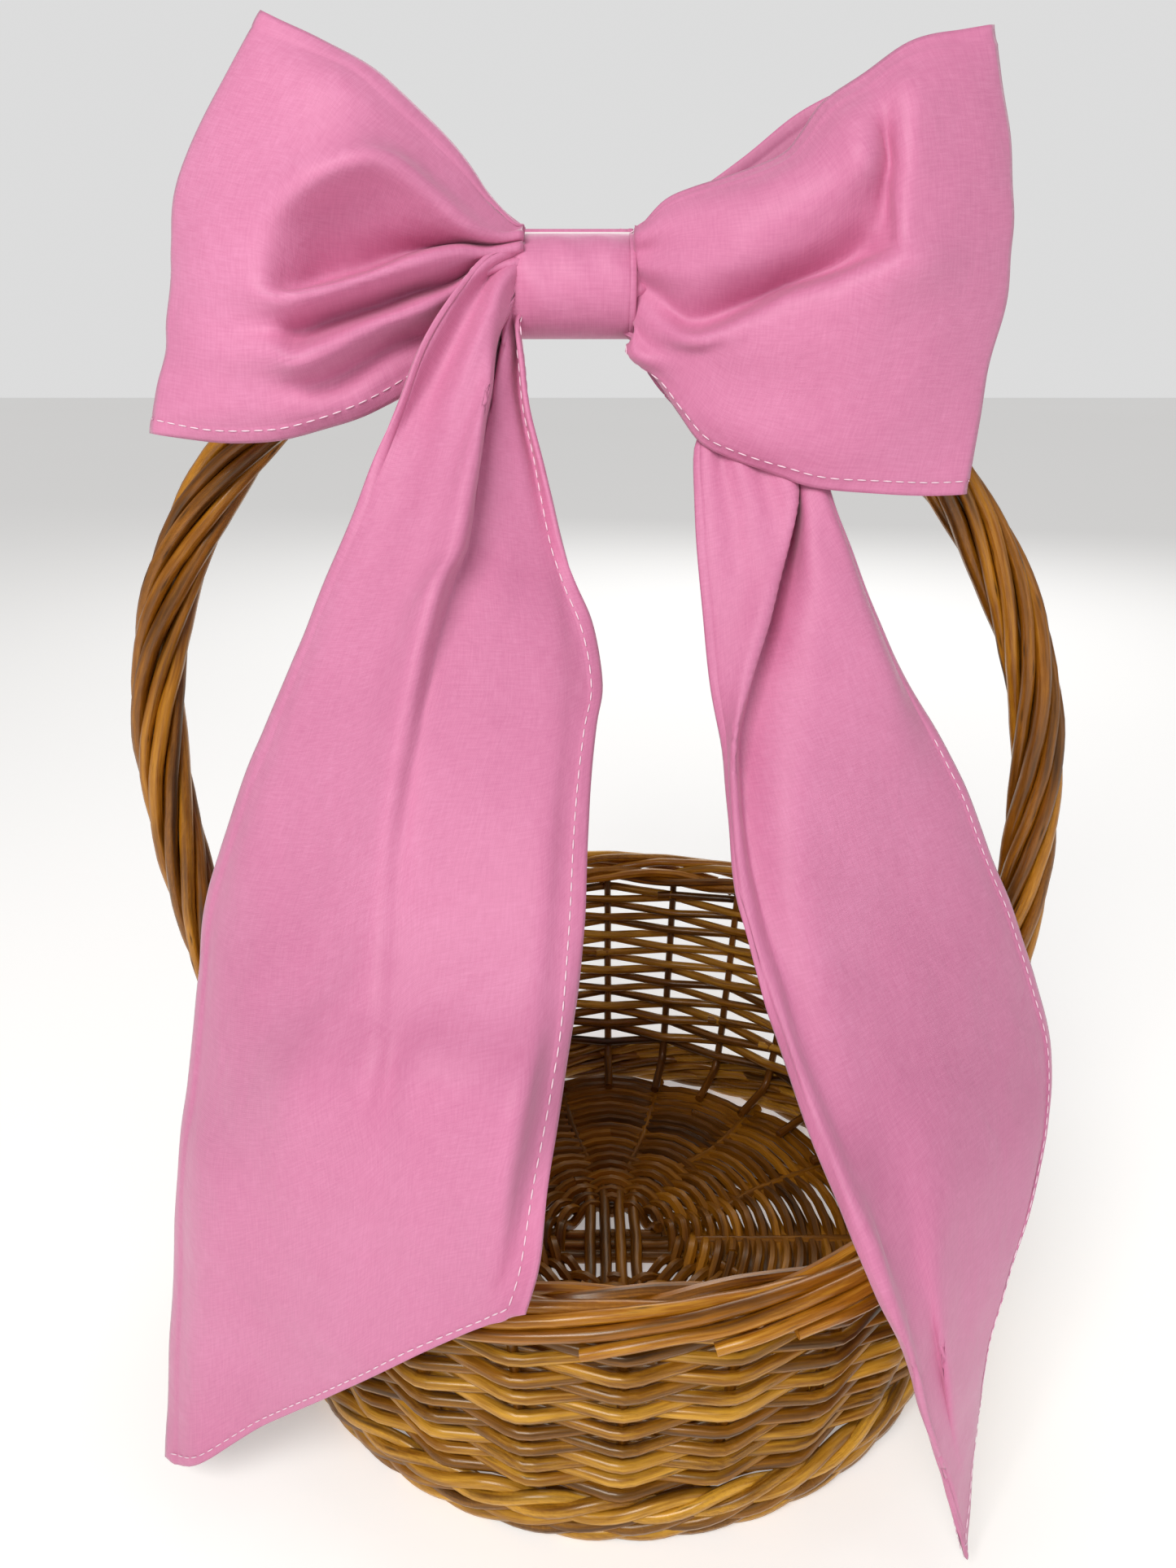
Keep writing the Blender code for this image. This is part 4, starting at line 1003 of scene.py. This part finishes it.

# %% [markdown]
# ## The tails
#
# Both tails are the same hemmed ribbon, cut on a slant at the end. They leave the knot tightly pleated,
# open out as they fall over the rim, and hang free below it.

# %% Rails of the tails, in millimetres, from the knot down
LEFT_TAIL = [
    [(-28, -24, 371), (-31, -28, 370), (-39, -34, 366), (-45, -40, 359), (-53, -47, 347),
     (-60, -52, 331), (-67, -56, 316), (-77, -62, 291), (-96, -66, 252), (-115, -65, 212),
     (-126, -64, 185), (-127, -72, 167), (-128, -84, 147), (-132, -94, 111), (-138, -100, 70),
     (-144, -106, 12)],
    [(-29, -23, 369), (-30, -26, 368), (-37, -30, 364), (-43, -36, 356), (-48, -42, 345),
     (-56, -48, 329), (-62, -56, 314), (-71, -66, 290), (-87, -74, 252), (-103, -76, 214),
     (-111, -78, 189), (-111, -88, 172), (-111, -100, 155), (-116, -109, 126), (-121, -112, 94),
     (-132, -112, 19)],
    [(-29, -22, 367), (-30, -27, 365), (-34, -33, 360), (-37, -40, 351), (-40, -48, 339),
     (-45, -58, 321), (-50, -68, 305), (-57, -79, 284), (-70, -87, 253), (-82, -92, 218),
     (-87, -98, 197), (-87, -108, 180), (-87, -124, 166), (-91, -127, 138), (-97, -125, 103),
     (-108, -119, 41)],
    [(-29, -22, 364), (-30, -27, 361), (-32, -33, 354), (-35, -41, 346), (-36, -50, 334),
     (-38, -57, 326), (-41, -68, 311), (-44, -77, 296), (-49, -84, 286), (-58, -95, 254),
     (-65, -103, 223), (-67, -110, 203), (-67, -120, 188), (-67, -134, 173), (-70, -137, 146),
     (-75, -136, 113), (-83, -131, 67)],
    [(-29, -21, 361), (-30, -23, 358), (-32, -26, 353), (-34, -31, 345), (-36, -38, 334),
     (-37, -44, 325), (-40, -56, 310), (-41, -66, 295), (-44, -76, 282), (-48, -92, 253),
     (-50, -104, 224), (-50, -112, 204), (-50, -124, 190), (-50, -140, 177), (-51, -145, 152),
     (-54, -145, 124), (-58, -144, 94)],
    [(-29, -21, 358), (-30, -23, 355), (-31, -26, 350), (-31, -31, 343), (-31, -37, 332),
     (-30, -43, 322), (-28, -51, 307), (-25, -58, 291), (-22, -66, 279), (-22, -84, 250),
     (-24, -102, 223), (-25, -114, 205), (-27, -128, 190), (-28, -146, 179), (-31, -152, 158),
     (-34, -153, 134), (-40, -152, 111)],
    [(-29, -22, 355), (-29, -25, 353), (-30, -28, 349), (-29, -33, 339), (-27, -39, 326),
     (-23, -46, 313), (-19, -53, 299), (-14, -59, 284), (-9, -63, 272), (-6, -70, 257), (-8, -80, 247),
     (-10, -96, 225), (-11, -110, 208), (-13, -122, 191), (-15, -133, 179), (-19, -146, 158),
     (-22, -155, 139), (-26, -160, 127)],
]
RIGHT_TAIL = [
    [(24, -27, 328), (23, -30, 321), (21, -33, 314), (21, -40, 297), (23, -48, 275), (25, -58, 254),
     (28, -66, 237), (30, -74, 220), (31, -84, 205), (34, -96, 191), (39, -108, 175), (45, -122, 159),
     (51, -136, 147), (57, -146, 136), (62, -150, 124), (70, -150, 105), (78, -147, 80), (91, -139, 43),
     (102, -134, 7)],
    [(31, -29, 328), (39, -34, 319), (47, -38, 308), (45, -45, 291), (39, -54, 272), (34, -62, 255),
     (31, -68, 243), (31, -72, 230), (32, -78, 217), (34, -88, 202), (38, -99, 188), (43, -113, 174),
     (49, -127, 158), (54, -140, 148), (60, -148, 135), (65, -151, 122), (72, -151, 104),
     (80, -147, 77), (92, -139, 42), (102, -133, 10)],
    [(33, -26, 329), (42, -28, 319), (51, -31, 306), (49, -37, 287), (44, -46, 269), (39, -55, 252),
     (36, -62, 239), (36, -69, 227), (37, -77, 214), (39, -86, 201), (43, -97, 187), (48, -110, 172),
     (54, -124, 156), (60, -136, 145), (64, -144, 131), (69, -147, 118), (75, -148, 101),
     (82, -145, 75), (92, -139, 45), (102, -132, 13)],
    [(37, -27, 328), (47, -31, 318), (52, -38, 304), (53, -46, 287), (54, -52, 271), (54, -58, 254),
     (52, -66, 240), (51, -76, 221), (53, -86, 203), (57, -96, 186), (62, -108, 168), (67, -121, 151),
     (71, -133, 137), (73, -141, 123), (78, -144, 108), (85, -142, 83), (92, -138, 55), (103, -129, 19)],
    [(41, -27, 328), (51, -33, 317), (57, -40, 302), (64, -46, 284), (71, -50, 266), (77, -54, 248),
     (78, -60, 230), (79, -66, 212), (82, -74, 193), (86, -84, 174), (89, -98, 156), (90, -113, 143),
     (88, -127, 130), (86, -136, 113), (88, -139, 94), (93, -136, 68), (103, -125, 31)],
    [(45, -26, 327), (55, -32, 314), (62, -38, 297), (72, -40, 276), (83, -42, 254), (95, -44, 235),
     (105, -46, 217), (114, -47, 197), (124, -49, 176), (132, -54, 154), (137, -62, 135),
     (131, -82, 122), (120, -102, 109), (109, -117, 96), (103, -124, 79), (104, -119, 45)],
]
print("rails of the tails:", len(LEFT_TAIL), "and", len(RIGHT_TAIL))


# %% Creases, pleats and seams of a tail
END_HEM = 0.30
STITCHES_OUT = 0.0009


def creased(lines, along, creases):
    """Adds a line behind a fold, so that it ends in a crease. Each crease is (rail before it, how near to
    the next rail it starts, depth, share of the length where it has faded)."""
    lines = list(lines)
    for before, near, depth, until in sorted(creases, reverse=True):
        fade = np.clip(1 - along / until, 0, 1) ** 0.8 * np.clip(along / 0.06, 0, 1)
        share = (0.5 + (near - 0.5) * fade)[:, None]
        line = lines[before] * (1 - share) + lines[before + 1] * share
        line[:, 1] += depth * fade
        lines.insert(before + 1, line)
    return lines


def pleated(grid, across, along):
    """Narrow pleats at the knot, which fade as the ribbon opens."""
    fading = np.clip(1 - along / 0.34, 0, 1) ** 1.3 * np.clip(along / 0.03, 0, 1)
    moved = grid.copy()
    moved[:, :, 1] += 0.0021 * np.cos(2 * math.pi * 4.5 * across + 0.8)[:, None] * fading[None, :]
    return moved


def tail_seams(grid, across, along, front, seen_from):
    """Seam lines: in front along the cut end and one edge, behind all the way round."""
    row = nearest(across, STITCHED_AT)
    edge = nearest(along, 1 - STITCHED_AT * END_HEM)
    out = grid_normals(grid) * STITCHES_OUT * front
    seen = grid + out
    hidden = grid - out
    return [np.vstack([seen[row:-row, edge], seen[-row - 1, seen_from:edge][::-1]]),
            np.vstack([hidden[row, :edge + 1], hidden[row:-row, edge][1:], hidden[-row - 1, :edge][::-1]])]


# %% Both tails
def make_tail(name, rails, creases, node, seed, seen_from):
    """A tail of the bow and its stitches, with their places baked into the meshes."""
    along = np.concatenate([np.linspace(0, 0.972, 130), 1 - np.array(HEM[:-1])[::-1] * END_HEM])
    across = shares_with_hems(60)
    lines = [evenly(smooth_line(rail, 10), along) * MM for rail in rails]
    grid = pleated(sharpened(lofted(creased(lines, along, creases), across), 1.1), across, along)
    grid = crumpled(crumpled(grid, 0.045, 0.0016, seed), 0.017, 0.0005, seed + 5)
    grid = raised_hems(grid, across, 0.0004)
    flip = grid_normals(grid)[len(across) // 2, 70, 1] > 0
    piece, area = cloth_piece(name, grid, pink_cotton, thickness=0.0014, flip=flip)
    seam = stitches(name + "_stitches", tail_seams(grid, across, along, -1 if flip else 1, seen_from))
    for made in (piece, seam):
        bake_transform(made)
    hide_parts(node)


LEFT_CREASES = ((3, 0.22, 0.0085, 0.42), (5, 0.70, 0.0045, 0.38))
RIGHT_CREASES = ((1, 0.30, 0.0050, 0.62),)
make_tail("tail_left", LEFT_TAIL, LEFT_CREASES, "bow_tail_left",
          seed=1.0, seen_from=8)

RIGHT_ROOT = [(-4, -20, 354, 2, 3), (6, -21, 347, 5, 4), (14, -23, 339, 10, 3)]
right_rails = []
for k, rail in enumerate(RIGHT_TAIL):
    share = k / (len(RIGHT_TAIL) - 1) - 0.5
    root = [(x + share * spread, y, z + share * rise) for x, y, z, spread, rise in RIGHT_ROOT]
    right_rails.append(root + rail)
make_tail("tail_right", right_rails, RIGHT_CREASES, "bow_tail_right",
          seed=6.0, seen_from=55)

# %% [markdown]
# ## Band, gathers and closure
#
# The middle of the bow is a band of cloth round the handle and the gathered ribbon. It closes at the back
# with hook-and-loop tape under a tab, which can be peeled open. The tapes keep their CAD shape, since they
# are plain strips, and get a woven white finish.

# %% The centre band
BOW_AT = np.array((-0.01488, 0.0, 0.360))
BAND_WIDTH = 0.036
BACK_RADIUS = 0.0114
FRONT_RADIUS = 0.0140
FRONT_SHIFT = 0.0153
TURN_OVER = math.degrees(math.acos((FRONT_RADIUS - BACK_RADIUS) / FRONT_SHIFT))


def band_point(degrees, out):
    """A point round the band by the direction that it faces: 0 is the back, 90 the top, 180 the front."""
    a = math.radians(degrees)
    in_front = abs(degrees) > TURN_OVER
    radius = (FRONT_RADIUS if in_front else BACK_RADIUS) + out
    middle = -FRONT_SHIFT if in_front else 0.0
    return np.array((0.0, middle + radius * math.cos(a), radius * math.sin(a)))


outline = np.array([band_point((a + 180) % 360 - 180, -0.0007) for a in np.linspace(-60, 300, 97)])
outline = evenly(outline, np.linspace(0, 1, 150))
across = shares_with_hems(20)
grid = np.zeros((len(across), len(outline), 3))
for i, share in enumerate(across):
    side = 2 * share - 1
    crown = 1 - abs(side) ** 3.0
    for j, p in enumerate(outline):
        front = max(0.0, min(1.0, -p[1] / 0.020))
        swell = 1 + front * (0.085 * crown - 0.02)
        crease = 0.0004 * math.sin(9 * side + 260 * p[2]) * front
        grid[i, j] = BOW_AT + (BAND_WIDTH / 2 * side, p[1] * swell - crease, p[2])
band_cloth, area = cloth_piece("band_cloth", raised_hems(grid, across, 0.0003), pink_cotton, flip=True)
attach(band_cloth, "bow")
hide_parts("bow_band")

# %% The gathers inside the band
across = np.linspace(0, 1, 49)
along = np.linspace(0, 1, 31)
grid = np.zeros((len(across), len(along), 3))
for i, turn in enumerate(across):
    a = 2 * math.pi * turn
    for j, s in enumerate(along):
        side = 2 * s - 1
        end = max(0.0, abs(side) - 0.72) / 0.28
        pleat = 1 + (0.05 + 0.10 * end) * math.cos(11 * a + 2.0 * side)
        radius = 0.0082 * pleat * math.sqrt(max(0.0, 1 - end**2.4 * 0.96))
        grid[i, j] = BOW_AT + (0.0228 * side, -0.0185 + radius * math.cos(a), radius * 1.02 * math.sin(a))
gathers, area = cloth_piece("bow_gathers", grid, pink_cotton, thickness=0.0010)
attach(gathers, "bow")
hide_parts("bow_knot")

# %% The closure tab with its stitching
LAST_TURN = TURN_OVER - 0.5
path = [band_point(a, 0.0036) for a in np.linspace(-25, LAST_TURN, 40)]
last = math.radians(LAST_TURN)
forward = np.array((0.0, -math.sin(last), math.cos(last)))
path += [path[-1] + forward * reach for reach in np.linspace(0.0007, 0.005, 7)]
across = shares_with_hems(20)
grid = np.array([[BOW_AT + p + (BAND_WIDTH * (share - 0.5), 0, 0) for p in path] for share in across])
tab_cloth, area = cloth_piece("tab_cloth", raised_hems(grid, across, 0.0003), pink_cotton)
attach(tab_cloth, "tab")
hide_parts("closure_tab")
facing = grid_normals(grid)
if facing[10, 20, 1] < 0:
    facing = -facing
row = nearest(across, HEM[-1])
raised = grid + facing * STITCHES_OUT
loop_round = np.vstack([raised[row, 2:-2], raised[row:-row, -3][1:], raised[-row - 1, 2:-3][::-1],
                        raised[row:-row, 2][::-1]])
tab_seam = stitches("tab_cloth_stitches", [loop_round])
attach(tab_seam, "tab")

# %% The two tapes
for node in ("hook_tape", "loop_tape"):
    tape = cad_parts[node]
    tape.data.materials.clear()
    tape.data.materials.append(tape_weave)
print("tapes in", tape_weave.name)
